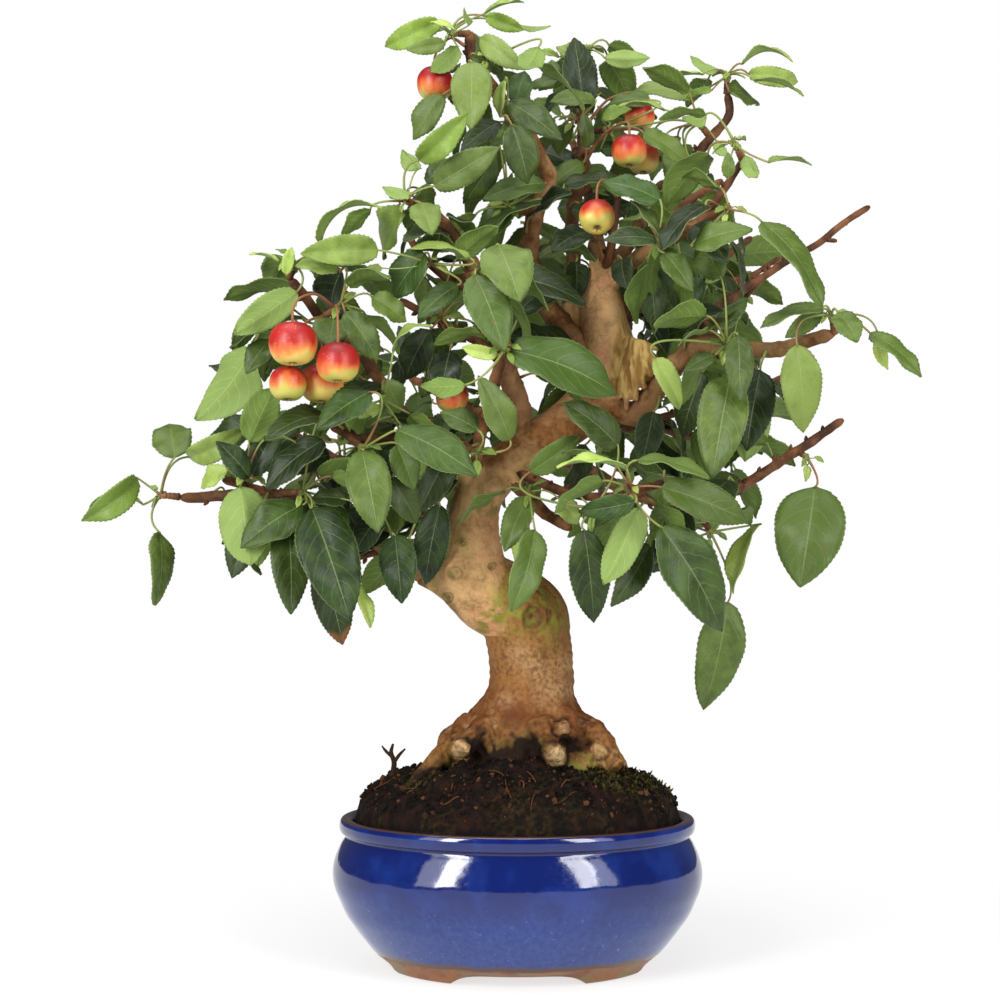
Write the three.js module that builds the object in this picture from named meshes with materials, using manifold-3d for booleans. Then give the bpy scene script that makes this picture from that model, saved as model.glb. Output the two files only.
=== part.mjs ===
// A crabapple grown as a bonsai in a glazed oval pot: pot, soil, wood, leafy sprays and apples.
// Millimetres, +Z up. The viewer looks along +Y, so a negative depth is nearer to the viewer.

import * as THREE from "three";
import { mergeVertices } from "three/addons/utils/BufferGeometryUtils.js";
import Module from "manifold-3d";

const wasm = await Module();
wasm.setup();

const TAU = 2 * Math.PI;
const SEAT_GAP = 0.3; // between pieces that touch each other

// ---------------------------------------------------------------- front grid
// Places on the tree are given on a front grid of 1000 columns and 1000 rows, as the eye sees it
// from EYE_BACK in front of the pot's middle, and by their depth behind that middle.
const EYE_BACK = 1250;
const EYE_HEIGHT = 266;
const EYE_SIDE = -10; // from the pot's middle
const GRID_FOCAL = 2185;
const GRID_MIDDLE = 500;

const gridStep = (depth) => (EYE_BACK + depth) / GRID_FOCAL;

function spot(column, row, depth) {
  const step = gridStep(depth);
  const across = EYE_SIDE + (column - GRID_MIDDLE) * step;
  const height = EYE_HEIGHT - (row - GRID_MIDDLE) * step;
  return new THREE.Vector3(across, depth, height);
}

// A number from 0 to 1 that is spread evenly over the counted things.
const GOLDEN_SHARE = 0.618034;
const share = (count) => (count * GOLDEN_SHARE) % 1;

// ---------------------------------------------------------------- solids
function solidOf(positions, triangles) {
  const mesh = new wasm.Mesh({
    numProp: 3,
    vertProperties: new Float32Array(positions),
    triVerts: new Uint32Array(triangles),
  });
  return new wasm.Manifold(mesh);
}

function signedVolume(positions, triangles) {
  let total = 0;
  const corner = (index) => new THREE.Vector3().fromArray(positions, 3 * index);
  for (let i = 0; i < triangles.length; i += 3) {
    const [a, b, c] = [corner(triangles[i]), corner(triangles[i + 1]), corner(triangles[i + 2])];
    total += a.dot(b.cross(c)) / 6;
  }
  return total;
}

// A closed solid from rings of equally many points, with flat ends.
function skin(rings) {
  const sides = rings[0].length;
  const positions = rings.flat().flatMap((point) => [point.x, point.y, point.z]);
  const triangles = [];
  for (let ring = 0; ring < rings.length - 1; ring++) {
    for (let side = 0; side < sides; side++) {
      const next = (side + 1) % sides;
      const a = ring * sides + side;
      const b = ring * sides + next;
      triangles.push(a, b, b + sides, a, b + sides, a + sides);
    }
  }
  const last = (rings.length - 1) * sides;
  for (let side = 1; side < sides - 1; side++) {
    triangles.push(0, side + 1, side, last, last + side, last + side + 1);
  }
  return facingOut(positions, triangles);
}

function facingOut(positions, triangles) {
  if (signedVolume(positions, triangles) < 0) {
    for (let i = 0; i < triangles.length; i += 3) {
      [triangles[i + 1], triangles[i + 2]] = [triangles[i + 2], triangles[i + 1]];
    }
  }
  return solidOf(positions, triangles);
}

function directionsAlong(points) {
  return points.map((_, i) => {
    const before = points[Math.max(i - 1, 0)];
    const after = points[Math.min(i + 1, points.length - 1)];
    return after.clone().sub(before).normalize();
  });
}

// Rings square to a path, each turned as little as possible from the one before.
function ringsAlong(points, radii, sides) {
  const along = directionsAlong(points);
  const helper = Math.abs(along[0].y) < 0.9 ? new THREE.Vector3(0, 1, 0) : new THREE.Vector3(1, 0, 0);
  const across = helper.clone().cross(along[0]).normalize();
  const turn = new THREE.Quaternion();
  return points.map((point, i) => {
    if (i > 0) {
      turn.setFromUnitVectors(along[i - 1], along[i]);
      across.applyQuaternion(turn);
    }
    const up = along[i].clone().cross(across);
    return Array.from({ length: sides }, (_, side) => {
      const angle = (TAU * side) / sides;
      return point
        .clone()
        .addScaledVector(across, radii[i] * Math.cos(angle))
        .addScaledVector(up, radii[i] * Math.sin(angle));
    });
  });
}

const tube = (points, radii, sides) => skin(ringsAlong(points, radii, sides));

function joined(solids) {
  return wasm.Manifold.union(solids);
}

// A profile of radii and heights, turned about Z and flattened to an oval.
function turnedGeometry(profile, segments, flatten) {
  const outline = profile.map(([radius, height]) => new THREE.Vector2(radius, height));
  const geometry = new THREE.LatheGeometry(outline, segments);
  geometry.rotateX(Math.PI / 2);
  geometry.scale(1, flatten, 1);
  geometry.deleteAttribute("normal");
  geometry.deleteAttribute("uv");
  return mergeVertices(geometry, 1e-4);
}

const solidOfGeometry = (geometry) =>
  facingOut(Array.from(geometry.attributes.position.array), Array.from(geometry.index.array));

function turnedSolid(profile, segments, flatten) {
  return solidOfGeometry(turnedGeometry(profile, segments, flatten));
}

function meshOf(name, solid, material) {
  const data = solid.getMesh();
  const geometry = new THREE.BufferGeometry();
  geometry.setAttribute("position", new THREE.BufferAttribute(data.vertProperties, 3));
  geometry.setIndex(new THREE.BufferAttribute(data.triVerts, 1));
  const mesh = new THREE.Mesh(geometry, material);
  mesh.name = name;
  return mesh;
}

const finish = (color, roughness) => new THREE.MeshStandardMaterial({ color, roughness, metalness: 0 });

// ---------------------------------------------------------------- pot
const POT = {
  rimRadius: 101.3, // half the width of the lip
  bellyRadius: 105.5,
  bellyHeight: 53,
  neckRadius: 96.6,
  neckHeight: 75.5,
  height: 85.3,
  floorTop: 14,
  floorUnder: 6,
  footHeight: 9, // up to the edge of the glaze
  flatten: 0.8, // depth of the oval as a share of its width
  segments: 24,
  frontArchHalf: 37, // half the opening between the feet, front and back
  sideArchHalf: 24,
  archHeight: 5.5,
  drainRadius: 6,
  drainPlace: 34,
};

const potOutside = [
  [70, 0],
  [76, 4],
  [81.5, POT.footHeight],
  [93.5, 24],
  [102, 39],
  [POT.bellyRadius, POT.bellyHeight],
  [103.8, 63],
  [100.2, 71],
  [POT.neckRadius, POT.neckHeight],
  [POT.rimRadius, 77.5],
  [POT.rimRadius, 83.6],
  [98.6, POT.height],
];

const potInside = [
  [94, 84],
  [92.5, 76],
  [98.3, 58],
  [95.2, 39],
  [86, 22],
  [76, POT.floorTop],
];

function archCut(half, reach, alongX) {
  const halves = [1, 0.82, 0];
  const heights = [-1, 0.62 * POT.archHeight, POT.archHeight];
  const outline = [];
  halves.forEach((part, i) => outline.push([half * part, heights[i]]));
  outline.push([-half * halves[1], heights[1]], [-half, heights[0]]);
  const ring = (place) =>
    outline.map(([a, z]) => (alongX ? new THREE.Vector3(place, a, z) : new THREE.Vector3(a, place, z)));
  return skin([ring(-reach), ring(reach)]);
}

function buildPot() {
  const footInside = [
    [0, POT.floorUnder],
    [56, POT.floorUnder],
    [59, 0],
  ];
  const profile = [...footInside, ...potOutside, ...potInside, [0, POT.floorTop]];
  let pot = turnedSolid(profile, POT.segments, POT.flatten);
  pot = pot.subtract(archCut(POT.frontArchHalf, POT.bellyRadius, false));
  pot = pot.subtract(archCut(POT.sideArchHalf, POT.bellyRadius, true));
  for (const side of [-1, 1]) {
    const drain = turnedSolid([[0, 0], [POT.drainRadius, 0], [POT.drainRadius, 20], [0, 20]], 10, 1);
    pot = pot.subtract(drain.translate([side * POT.drainPlace, 0, 0]));
  }
  return pot;
}

// ---------------------------------------------------------------- soil
// The mound stands over the rim; its top is lumpy.
const SOIL_MOUND = [
  [90, 94],
  [84, 101],
  [72, 108],
  [50, 113],
  [26, 114],
];
const SOIL_TOP = 115;
const SOIL_LUMP = 1.6;

function soilLump(x, y) {
  return SOIL_LUMP * (Math.sin(0.13 * x + 1) * Math.cos(0.17 * y) + 0.7 * Math.sin(0.31 * x + 0.23 * y));
}

function buildSoil(standing) {
  const wall = potInside.map(([radius, height]) => [radius - 0.45, height]);
  wall[wall.length - 1][1] += SEAT_GAP;
  const floor = wall[wall.length - 1][1];
  const profile = [[0, floor], ...wall.reverse(), ...SOIL_MOUND, [0, SOIL_TOP]];
  const geometry = turnedGeometry(profile, POT.segments, POT.flatten);
  const place = geometry.attributes.position;
  for (let i = 0; i < place.count; i++) {
    if (place.getZ(i) > POT.height + 1) {
      place.setZ(i, place.getZ(i) + soilLump(place.getX(i), place.getY(i)));
    }
  }
  return solidOfGeometry(geometry).subtract(standing);
}

// ---------------------------------------------------------------- wood
// Level slices of the lower trunk: row, left column, right column, depth of the middle, half depth.
const TRUNK_SLICES = [
  [792, 462, 590, 0, 30],
  [778, 440, 612, 0, 38],
  [764, 435, 614, 0, 38],
  [747, 441, 606, 0, 36],
  [731, 455, 596, 0, 32],
  [715, 468, 584, 0, 28],
  [695, 483, 574, 0, 25],
  [675, 490, 574, 1, 23.5],
  [658, 488, 573, 1, 24],
  [640, 477, 571, 1, 25],
  [624, 452, 568, 0, 26],
  [608, 440, 562, -2, 25],
  [594, 436, 553, -4, 23.5],
  [582, 435, 536, -6, 21.5],
  [570, 435, 510, -8, 19.5],
  [549, 440, 505, -8, 18],
  [525, 447, 498, -8, 15.5],
  [504, 452, 499, -7, 14],
];
const SLICE_SIDES = 12;

// The trunk above the slices: column, row, depth, radius.
const TRUNK_TOP = [
  [474, 524, -8, 13.5],
  [479, 497, -6, 13.2],
  [499, 472, -2, 12.8],
  [535, 444, 4, 13.2],
  [574, 418, 10, 14],
  [602, 388, 12, 15],
  [610, 355, 12, 15],
  [604, 322, 12, 13.8],
  [600, 294, 12, 12.4],
  [603, 272, 12, 9],
];

// The dry broken bough beside the upper trunk.
const BROKEN_BOUGH = [
  [606, 356, 10, 13],
  [628, 368, 2, 14],
  [645, 366, -4, 12.5],
  [655, 356, -6, 8],
];

// Roots and their cut ends: column, row, depth, radius at each point.
const ROOTS = [
  [[472, 718, -4, 10], [452, 745, -12, 9], [434, 766, -20, 7], [414, 792, -28, 4]],
  [[494, 722, -18, 9], [470, 742, -32, 8], [459, 752, -38, 6.5]],
  [[536, 716, -18, 10], [546, 742, -36, 8.5], [550, 753, -45, 7]],
  [[562, 708, -12, 8], [566, 733, -28, 6.5], [564, 742, -34, 5]],
  [[578, 716, -6, 9], [600, 744, -16, 7.5], [618, 768, -24, 5]],
  [[580, 722, 6, 10], [606, 752, 10, 8], [634, 790, 12, 4]],
  [[500, 722, 18, 10], [482, 758, 36, 7], [466, 792, 48, 4]],
  [[548, 722, 18, 10], [566, 758, 38, 7], [584, 792, 50, 4]],
];

// Boughs and twigs: first and last radius, first and last depth, then column and row of each point.
const BOUGHS = [
  { radii: [7, 3], depths: [2, -48], path: [[510, 462], [519, 400], [505, 365], [500, 330], [488, 290],
    [475, 268], [460, 245], [442, 220], [425, 205]] },
  { radii: [7, 3], depths: [14, -8], path: [[600, 385], [568, 335], [548, 305], [533, 281], [530, 240],
    [546, 170], [533, 144], [511, 116], [496, 90], [483, 75], [470, 52], [470, 32]] },
  { radii: [5, 2.5], depths: [18, 42], path: [[569, 337], [572, 262], [575, 200], [583, 165], [583, 120],
    [586, 93], [587, 68]] },
  { radii: [3.5, 3.5], depths: [12, 4], path: [[598, 290], [596, 270], [592, 240]] },
  { radii: [3, 2], depths: [10, 4], path: [[605, 275], [613, 235], [618, 192]] },
  { radii: [5, 3], depths: [8, -58], path: [[606, 284], [627, 265], [658, 246], [700, 222], [723, 212]] },
  { radii: [2.6, 1.8], depths: [-48, -60], path: [[700, 222], [727, 185], [743, 160]] },
  { radii: [2.8, 2], depths: [-22, -10], path: [[655, 248], [684, 205], [722, 180]] },
  { radii: [4.5, 2.4], depths: [15, 58], path: [[604, 290], [630, 240], [658, 203], [670, 180], [690, 160],
    [715, 132], [730, 112], [727, 94]] },
  { radii: [4, 2], depths: [14, 74], path: [[606, 334], [635, 290], [655, 262], [705, 265], [752, 238]] },
  { radii: [2.2, 1.5], depths: [41, 70], path: [[655, 262], [700, 275], [740, 279], [780, 258]] },
  { radii: [2.6, 1.8], depths: [-22, 30], path: [[694, 348], [706, 318], [745, 290], [785, 262], [815, 245],
    [845, 222], [870, 207]] },
  { radii: [1.6, 1.2], depths: [19, 16], path: [[822, 239], [837, 241]] },
  { radii: [7, 3.5], depths: [6, -52], path: [[606, 398], [628, 414], [660, 385], [680, 360], [700, 342],
    [730, 350], [780, 348], [835, 333]] },
  { radii: [2.4, 1.6], depths: [12, 60], path: [[580, 426], [622, 428], [660, 418], [705, 407], [745, 392],
    [793, 372]] },
  { radii: [4, 2.6], depths: [6, 44], path: [[545, 440], [570, 462], [600, 477], [650, 500], [700, 505],
    [740, 487], [780, 462], [843, 420]] },
  { radii: [2.6, 2.4], depths: [26, 28], path: [[700, 505], [704, 521]] },
  { radii: [3.2, 2], depths: [-2, -80], path: [[505, 470], [530, 478], [560, 490], [604, 497], [630, 494],
    [663, 482]] },
  { radii: [3.6, 3], depths: [-8, -50], path: [[506, 474], [531, 501], [570, 530]] },
  { radii: [3.8, 3], depths: [-8, -62], path: [[484, 494], [478, 458], [484, 423], [492, 389], [502, 357]] },
  { radii: [1.8, 1.4], depths: [-24, -36], path: [[479, 455], [460, 441]] },
  { radii: [4.5, 2.5], depths: [-8, -60], path: [[481, 492], [440, 450], [400, 410], [383, 386], [354, 343],
    [319, 317], [303, 294], [289, 278]] },
  { radii: [2.6, 2], depths: [-17, -66], path: [[440, 450], [400, 437], [358, 438], [331, 428]] },
  { radii: [1.6, 1.2], depths: [-58, -64], path: [[348, 435], [339, 418]] },
  { radii: [3, 2], depths: [-16, -34], path: [[505, 365], [478, 342], [440, 322], [400, 300]] },
  { radii: [4, 2.5], depths: [0, 22], path: [[455, 545], [420, 512], [385, 490], [347, 468], [320, 450],
    [290, 433], [262, 408], [237, 381]] },
  { radii: [1.8, 1.4], depths: [12, 4], path: [[330, 457], [345, 458]] },
  { radii: [5.5, 4], depths: [0, 2], path: [[452, 590], [412, 570], [385, 550], [355, 528], [330, 512]] },
  { radii: [3.2, 2.4], depths: [1, -38], path: [[334, 514], [299, 500], [262, 490], [223, 480]] },
  { radii: [3.4, 3.2], depths: [2, 6], path: [[330, 512], [256, 498], [180, 497]] },
  { radii: [2, 1.6], depths: [2, -4], path: [[385, 550], [343, 562]] },
  { radii: [2.8, 2], depths: [-30, -52], path: [[488, 290], [458, 285], [440, 272], [420, 255], [409, 235]] },
  // boughs to the back
  { radii: [6, 2.6], depths: [14, 118], path: [[600, 378], [585, 345], [550, 310], [520, 285]] },
  { radii: [5.5, 2.6], depths: [14, 112], path: [[606, 330], [630, 315], [665, 300], [700, 290]] },
  { radii: [4.5, 2.4], depths: [14, 92], path: [[602, 290], [598, 240], [588, 195], [575, 150]] },
  { radii: [5, 2.4], depths: [4, 112], path: [[530, 448], [500, 425], [455, 400], [415, 380]] },
  { radii: [4.5, 2.2], depths: [-2, 92], path: [[478, 505], [450, 480], [410, 460], [370, 450]] },
  { radii: [5, 2.4], depths: [12, 106], path: [[598, 398], [630, 415], [670, 430], [705, 440]] },
];
const BOUGH_SIDES = 5;
const TWIG_SIDES = 4;
const TWIG_RADIUS = 4.6; // a bough that starts thinner is a twig

function boughPoints({ radii, depths, path }) {
  const lengths = [0];
  for (let i = 1; i < path.length; i++) {
    const step = Math.hypot(path[i][0] - path[i - 1][0], path[i][1] - path[i - 1][1]);
    lengths.push(lengths[i - 1] + step);
  }
  const total = lengths[lengths.length - 1];
  return path.map(([column, row], i) => {
    const part = lengths[i] / total;
    const depth = depths[0] + (depths[1] - depths[0]) * part;
    return { at: spot(column, row, depth), radius: radii[0] + (radii[1] - radii[0]) * part };
  });
}

const listed = (points) => points.map(([c, r, depth, radius]) => ({ at: spot(c, r, depth), radius }));

const sliceMiddle = ([row, left, right, depth, half]) => ({
  at: spot((left + right) / 2, row, depth),
  radius: Math.max(half, ((right - left) / 2) * gridStep(depth)),
});

// Every stretch of wood as a rod with a radius at each end.
const rods = [];
function addRods(points) {
  for (let i = 1; i < points.length; i++) {
    rods.push({ from: points[i - 1], to: points[i] });
  }
}
addRods(TRUNK_SLICES.map(sliceMiddle));
addRods(listed(TRUNK_TOP));
addRods(listed(BROKEN_BOUGH));
ROOTS.forEach((root) => addRods(listed(root)));
BOUGHS.forEach((bough) => addRods(boughPoints(bough)));

// The nearest place on a rod to a point, and the rod's radius there.
function nearestOn(rod, point) {
  const span = rod.to.at.clone().sub(rod.from.at);
  const part = point.clone().sub(rod.from.at).dot(span) / span.lengthSq();
  const held = Math.min(1, Math.max(0, part));
  const at = rod.from.at.clone().addScaledVector(span, held);
  const radius = rod.from.radius + (rod.to.radius - rod.from.radius) * held;
  return { at, radius, distance: at.distanceTo(point) };
}

function nearestWood(point) {
  const places = rods.slice(0, woodRods).map((rod) => nearestOn(rod, point));
  return places.reduce((best, place) =>
    place.distance - place.radius < best.distance - best.radius ? place : best);
}
const woodRods = rods.length;

function trunkSlices(grow) {
  const rings = TRUNK_SLICES.map(([row, left, right, depth, half]) => {
    const middle = spot((left + right) / 2, row, depth);
    const wide = ((right - left) / 2) * gridStep(depth) + grow;
    return Array.from({ length: SLICE_SIDES }, (_, side) => {
      const angle = (TAU * (side + 0.5)) / SLICE_SIDES;
      const x = middle.x + wide * Math.cos(angle);
      const y = middle.y + (half + grow) * Math.sin(angle);
      return new THREE.Vector3(x, y, middle.z);
    });
  });
  return skin(rings);
}

function listedTube(points, sides, grow) {
  const places = listed(points);
  const radii = places.map((place) => place.radius + grow);
  return tube(places.map((place) => place.at), radii, sides);
}

// What stands in the soil, a little larger by grow for the hole.
function standingWood(grow) {
  const solids = ROOTS.map((root) => listedTube(root, BOUGH_SIDES, grow));
  solids.push(trunkSlices(grow));
  return joined(solids);
}

function boughSolid(bough) {
  const points = boughPoints(bough);
  const sides = bough.radii[0] < TWIG_RADIUS ? TWIG_SIDES : BOUGH_SIDES;
  return tube(points.map((point) => point.at), points.map((point) => point.radius), sides);
}

// ---------------------------------------------------------------- sprays of leaves
const FLAT = "flat"; // the upper side looks at the viewer
const PALE = "pale"; // the underside looks at the viewer
const ARCHED = "arched"; // a long bow, seen from its side

// Each spray stands on a spur at a column, row and depth. Each leaf has the column and row of its
// blade's base and of its tip, the width seen from the front, its tone from 0 for an old dark leaf
// to 1 for a young bright one, and its form.
const SPRAYS = [
  { name: "left_tip", spur: [170, 496, 6], leaves: [
    [137, 479, 81, 521, 11, 0.7, ARCHED], [143, 504, 86, 516, 7, 0.5, ARCHED],
    [175, 457, 170, 424, 24, 0.2, FLAT], [189, 457, 248, 427, 10, 0.7, ARCHED],
    [159, 532, 155, 606, 10, 0.2, FLAT]] },
  { name: "left_low", spur: [243, 477, -40], leaves: [
    [240, 487, 250, 566, 32, 0.7, PALE], [228, 470, 201, 488, 14, 0.8, FLAT],
    [250, 478, 216, 441, 15, 0, FLAT], [252, 476, 283, 421, 17, 0, FLAT]] },
  { name: "left_fan", spur: [300, 492, -45], leaves: [
    [302, 505, 240, 548, 26, 0.05, FLAT], [312, 508, 350, 620, 35, 0, FLAT],
    [288, 520, 291, 615, 23, 0.1, FLAT], [322, 560, 343, 645, 23, 0.05, FLAT],
    [347, 500, 311, 498, 13, 0.1, FLAT], [326, 503, 345, 541, 16, 0, FLAT],
    [352, 583, 371, 628, 9, 0.9, FLAT]] },
  { name: "left_shade", spur: [318, 462, 12], leaves: [
    [300, 452, 270, 496, 12, 0.2, FLAT], [330, 455, 262, 470, 16, 0, FLAT],
    [300, 425, 262, 447, 15, 0.1, FLAT]] },
  { name: "left_hand", spur: [360, 446, -74], leaves: [
    [362, 450, 378, 533, 26, 0.35, FLAT], [391, 478, 417, 524, 18, 0.2, FLAT],
    [397, 445, 414, 490, 17, 0.1, FLAT], [397, 430, 478, 476, 26, 0.05, FLAT],
    [370, 392, 316, 430, 21, 0, FLAT]] },
  { name: "left_inner", spur: [383, 398, -57], leaves: [
    [385, 381, 400, 413, 16, 0.2, FLAT], [393, 352, 432, 326, 8, 0.5, ARCHED],
    [378, 405, 358, 418, 11, 0.5, FLAT]] },
  { name: "left_crown", spur: [292, 270, -64], leaves: [
    [319, 243, 383, 208, 8, 0.6, ARCHED], [280, 262, 249, 254, 5, 1, FLAT],
    [286, 275, 292, 247, 8, 1, FLAT], [338, 270, 295, 266, 15, 0.6, FLAT],
    [297, 292, 233, 335, 15, 0.5, PALE]] },
  { name: "left_fruit", spur: [337, 308, -66], leaves: [
    [334, 318, 329, 348, 23, 0.2, FLAT], [345, 312, 378, 361, 19, 0.2, FLAT],
    [372, 297, 406, 322, 17, 0.4, FLAT], [341, 271, 333, 320, 31, 0, FLAT]] },
  { name: "left_side", spur: [285, 300, -34], leaves: [
    [252, 352, 196, 421, 35, 0.6, PALE], [270, 340, 246, 374, 15, 0.2, FLAT]] },
  { name: "upper_left", spur: [415, 203, -50], leaves: [
    [419, 160, 468, 113, 11, 0.8, ARCHED], [417, 170, 402, 150, 11, 0.6, PALE],
    [412, 195, 382, 187, 9, 0.6, PALE], [421, 203, 432, 235, 18, 0.3, FLAT],
    [434, 186, 500, 147, 14, 0.2, FLAT], [427, 184, 449, 158, 11, 0.1, FLAT],
    [404, 212, 385, 258, 28, 0.6, FLAT]] },
  { name: "upper_left_low", spur: [428, 262, -58], leaves: [
    [425, 253, 393, 299, 23, 0, FLAT], [470, 258, 406, 250, 12, 0.6, FLAT],
    [382, 268, 364, 273, 7, 0.6, FLAT], [458, 285, 417, 319, 16, 0.05, FLAT],
    [378, 250, 300, 254, 16, 0.6, FLAT]] },
  { name: "middle_left", spur: [474, 274, -64], leaves: [
    [475, 275, 505, 352, 26, 0.1, FLAT], [498, 245, 520, 302, 30, 0.25, FLAT]] },
  { name: "middle_high", spur: [512, 208, -18], leaves: [
    [545, 183, 482, 200, 17, 0.1, FLAT], [540, 200, 478, 238, 14, 0.1, FLAT],
    [498, 150, 463, 204, 10, 0.2, FLAT], [502, 154, 489, 186, 7, 0, FLAT],
    [520, 200, 473, 245, 18, 0.05, FLAT]] },
  { name: "crown_left", spur: [508, 122, -22], leaves: [
    [508, 101, 563, 141, 16, 0.1, FLAT], [512, 125, 528, 184, 21, 0.15, FLAT],
    [500, 122, 460, 152, 15, 0.05, FLAT], [516, 103, 525, 71, 15, 0, FLAT],
    [505, 80, 500, 118, 7, 0.6, FLAT]] },
  { name: "top", spur: [469, 34, -8], leaves: [
    [440, 22, 385, 47, 10, 1, ARCHED], [440, 26, 411, 37, 7, 0.3, FLAT],
    [445, 43, 406, 50, 6, 0.3, FLAT], [455, 30, 430, 22, 6, 1, FLAT],
    [458, 47, 431, 73, 14, 0.4, PALE], [472, 22, 464, 8, 9, 0.7, PALE],
    [484, 14, 524, 2, 7, 0.9, FLAT], [485, 16, 524, 30, 6, 1, FLAT],
    [508, 22, 551, 26, 8, 0.7, PALE]] },
  { name: "top_low", spur: [486, 62, -14], leaves: [
    [480, 38, 525, 70, 10, 0.4, FLAT], [538, 48, 523, 70, 15, 0.4, PALE],
    [472, 55, 503, 72, 17, 0.05, FLAT]] },
  { name: "top_left", spur: [478, 80, -10], leaves: [
    [472, 62, 471, 130, 24, 0.3, FLAT], [443, 95, 413, 140, 18, 0.2, FLAT]] },
  { name: "crown_middle", spur: [587, 62, 42], leaves: [
    [585, 62, 556, 47, 13, 0.7, FLAT], [559, 57, 538, 52, 6, 0.8, FLAT],
    [605, 58, 650, 58, 9, 0.7, PALE], [559, 80, 529, 88, 10, 0.3, FLAT],
    [556, 78, 551, 60, 9, 0.2, FLAT]] },
  { name: "crown_middle_low", spur: [579, 122, 28], leaves: [
    [595, 100, 549, 102, 13, 0.3, FLAT], [588, 148, 583, 112, 9, 0.2, FLAT],
    [583, 163, 546, 192, 14, 0.4, FLAT]] },
  { name: "crown_fruit", spur: [603, 130, 30], leaves: [
    [602, 120, 632, 109, 10, 0.7, FLAT], [650, 100, 608, 104, 13, 0.3, FLAT],
    [665, 110, 618, 106, 8, 0.6, FLAT], [643, 133, 690, 166, 16, 0.25, FLAT],
    [600, 150, 620, 150, 14, 0, FLAT]] },
  { name: "right_crown", spur: [727, 83, 56], leaves: [
    [717, 72, 690, 56, 8, 0.6, PALE], [703, 74, 660, 84, 5, 1, FLAT],
    [742, 64, 793, 62, 7, 0.8, ARCHED], [748, 74, 798, 82, 9, 0.8, ARCHED],
    [755, 80, 804, 96, 7, 0.6, FLAT], [730, 92, 757, 104, 19, 0.3, FLAT],
    [712, 90, 686, 98, 7, 0.8, FLAT], [693, 96, 634, 90, 15, 0.4, FLAT]] },
  { name: "right_crown_low", spur: [706, 132, 48], leaves: [
    [706, 118, 682, 118, 11, 0.6, PALE], [716, 140, 726, 156, 8, 0.7, PALE],
    [668, 150, 680, 188, 13, 0.3, FLAT], [690, 160, 693, 217, 14, 0.4, FLAT]] },
  { name: "right_fork", spur: [742, 158, -60], leaves: [
    [728, 178, 728, 152, 8, 0.3, FLAT], [745, 156, 757, 178, 11, 0.6, PALE],
    [768, 162, 812, 165, 7, 0.6, FLAT]] },
  { name: "right_inner", spur: [662, 236, -58], leaves: [
    [663, 238, 630, 200, 10, 0.15, FLAT], [657, 240, 603, 240, 14, 0.05, FLAT],
    [664, 253, 693, 293, 15, 0.3, FLAT], [660, 200, 602, 182, 19, 0, FLAT]] },
  { name: "right_arch", spur: [725, 211, -62], leaves: [
    [762, 222, 823, 308, 22, 0.35, FLAT], [693, 245, 753, 229, 19, 0.4, FLAT]] },
  { name: "right_shade", spur: [700, 272, 44], leaves: [
    [672, 232, 690, 325, 30, 0, FLAT], [632, 292, 655, 325, 13, 0.2, PALE],
    [695, 328, 645, 347, 15, 0, FLAT]] },
  { name: "right_middle", spur: [746, 296, 22], leaves: [
    [700, 325, 748, 298, 24, 0.1, FLAT], [722, 270, 705, 283, 7, 0.5, PALE]] },
  { name: "right_end", spur: [834, 328, -54], leaves: [
    [822, 308, 760, 328, 14, 0.15, FLAT], [822, 312, 785, 338, 10, 0.3, FLAT],
    [838, 313, 858, 342, 17, 0.4, FLAT], [870, 333, 922, 377, 16, 0.4, FLAT],
    [878, 336, 888, 370, 6, 0.9, FLAT], [797, 345, 803, 433, 24, 0.4, FLAT]] },
  { name: "right_bough", spur: [728, 345, -56], leaves: [
    [730, 375, 712, 478, 29, 0.25, FLAT], [738, 335, 740, 402, 17, 0.2, FLAT],
    [715, 355, 683, 372, 10, 0.2, FLAT], [655, 358, 679, 410, 15, 0.6, FLAT]] },
  { name: "right_twig", spur: [760, 392, 52], leaves: [
    [758, 392, 745, 462, 23, 0.7, PALE], [772, 382, 793, 405, 8, 0.1, FLAT]] },
  { name: "right_hanging", spur: [802, 454, 34], leaves: [
    [815, 487, 800, 588, 41, 0.15, FLAT]] },
  { name: "right_low", spur: [708, 528, 32], leaves: [
    [758, 525, 733, 594, 10, 0.6, FLAT], [728, 602, 703, 710, 26, 0.2, FLAT]] },
  { name: "front_right", spur: [636, 488, -84], leaves: [
    [661, 527, 722, 632, 35, 0.05, FLAT], [640, 508, 603, 585, 22, 0.7, PALE],
    [650, 545, 611, 607, 15, 0.1, FLAT], [662, 487, 748, 522, 22, 0.3, FLAT],
    [638, 460, 710, 478, 15, 0.15, FLAT], [626, 468, 556, 467, 11, 1, FLAT],
    [635, 502, 578, 512, 10, 0, FLAT]] },
  { name: "front_middle", spur: [598, 505, -60], leaves: [
    [584, 530, 594, 623, 24, 0.05, FLAT], [618, 446, 563, 402, 23, 0.15, FLAT],
    [530, 472, 580, 435, 11, 0.4, FLAT]] },
  { name: "front_trunk", spur: [533, 496, -50], leaves: [
    [528, 497, 504, 552, 17, 0.4, FLAT], [528, 512, 530, 587, 7, 0.8, FLAT],
    [535, 530, 511, 612, 17, 0.15, FLAT], [560, 500, 578, 525, 14, 0.4, FLAT]] },
  { name: "front_high", spur: [504, 350, -86], leaves: [
    [510, 350, 617, 395, 35, 0.05, FLAT], [498, 355, 462, 347, 6, 1, FLAT],
    [465, 385, 420, 386, 14, 0.2, PALE]] },
  { name: "front_left", spur: [474, 452, -74], leaves: [
    [510, 440, 478, 375, 19, 0.2, FLAT], [478, 430, 440, 412, 15, 0.1, FLAT]] },
  { name: "low_bough", spur: [408, 560, -26], leaves: [
    [395, 535, 402, 604, 22, 0, FLAT], [440, 505, 425, 585, 21, 0, FLAT],
    [380, 515, 355, 553, 17, 0, FLAT]] },
  { name: "inner_left", spur: [440, 318, -38], leaves: [
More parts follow.
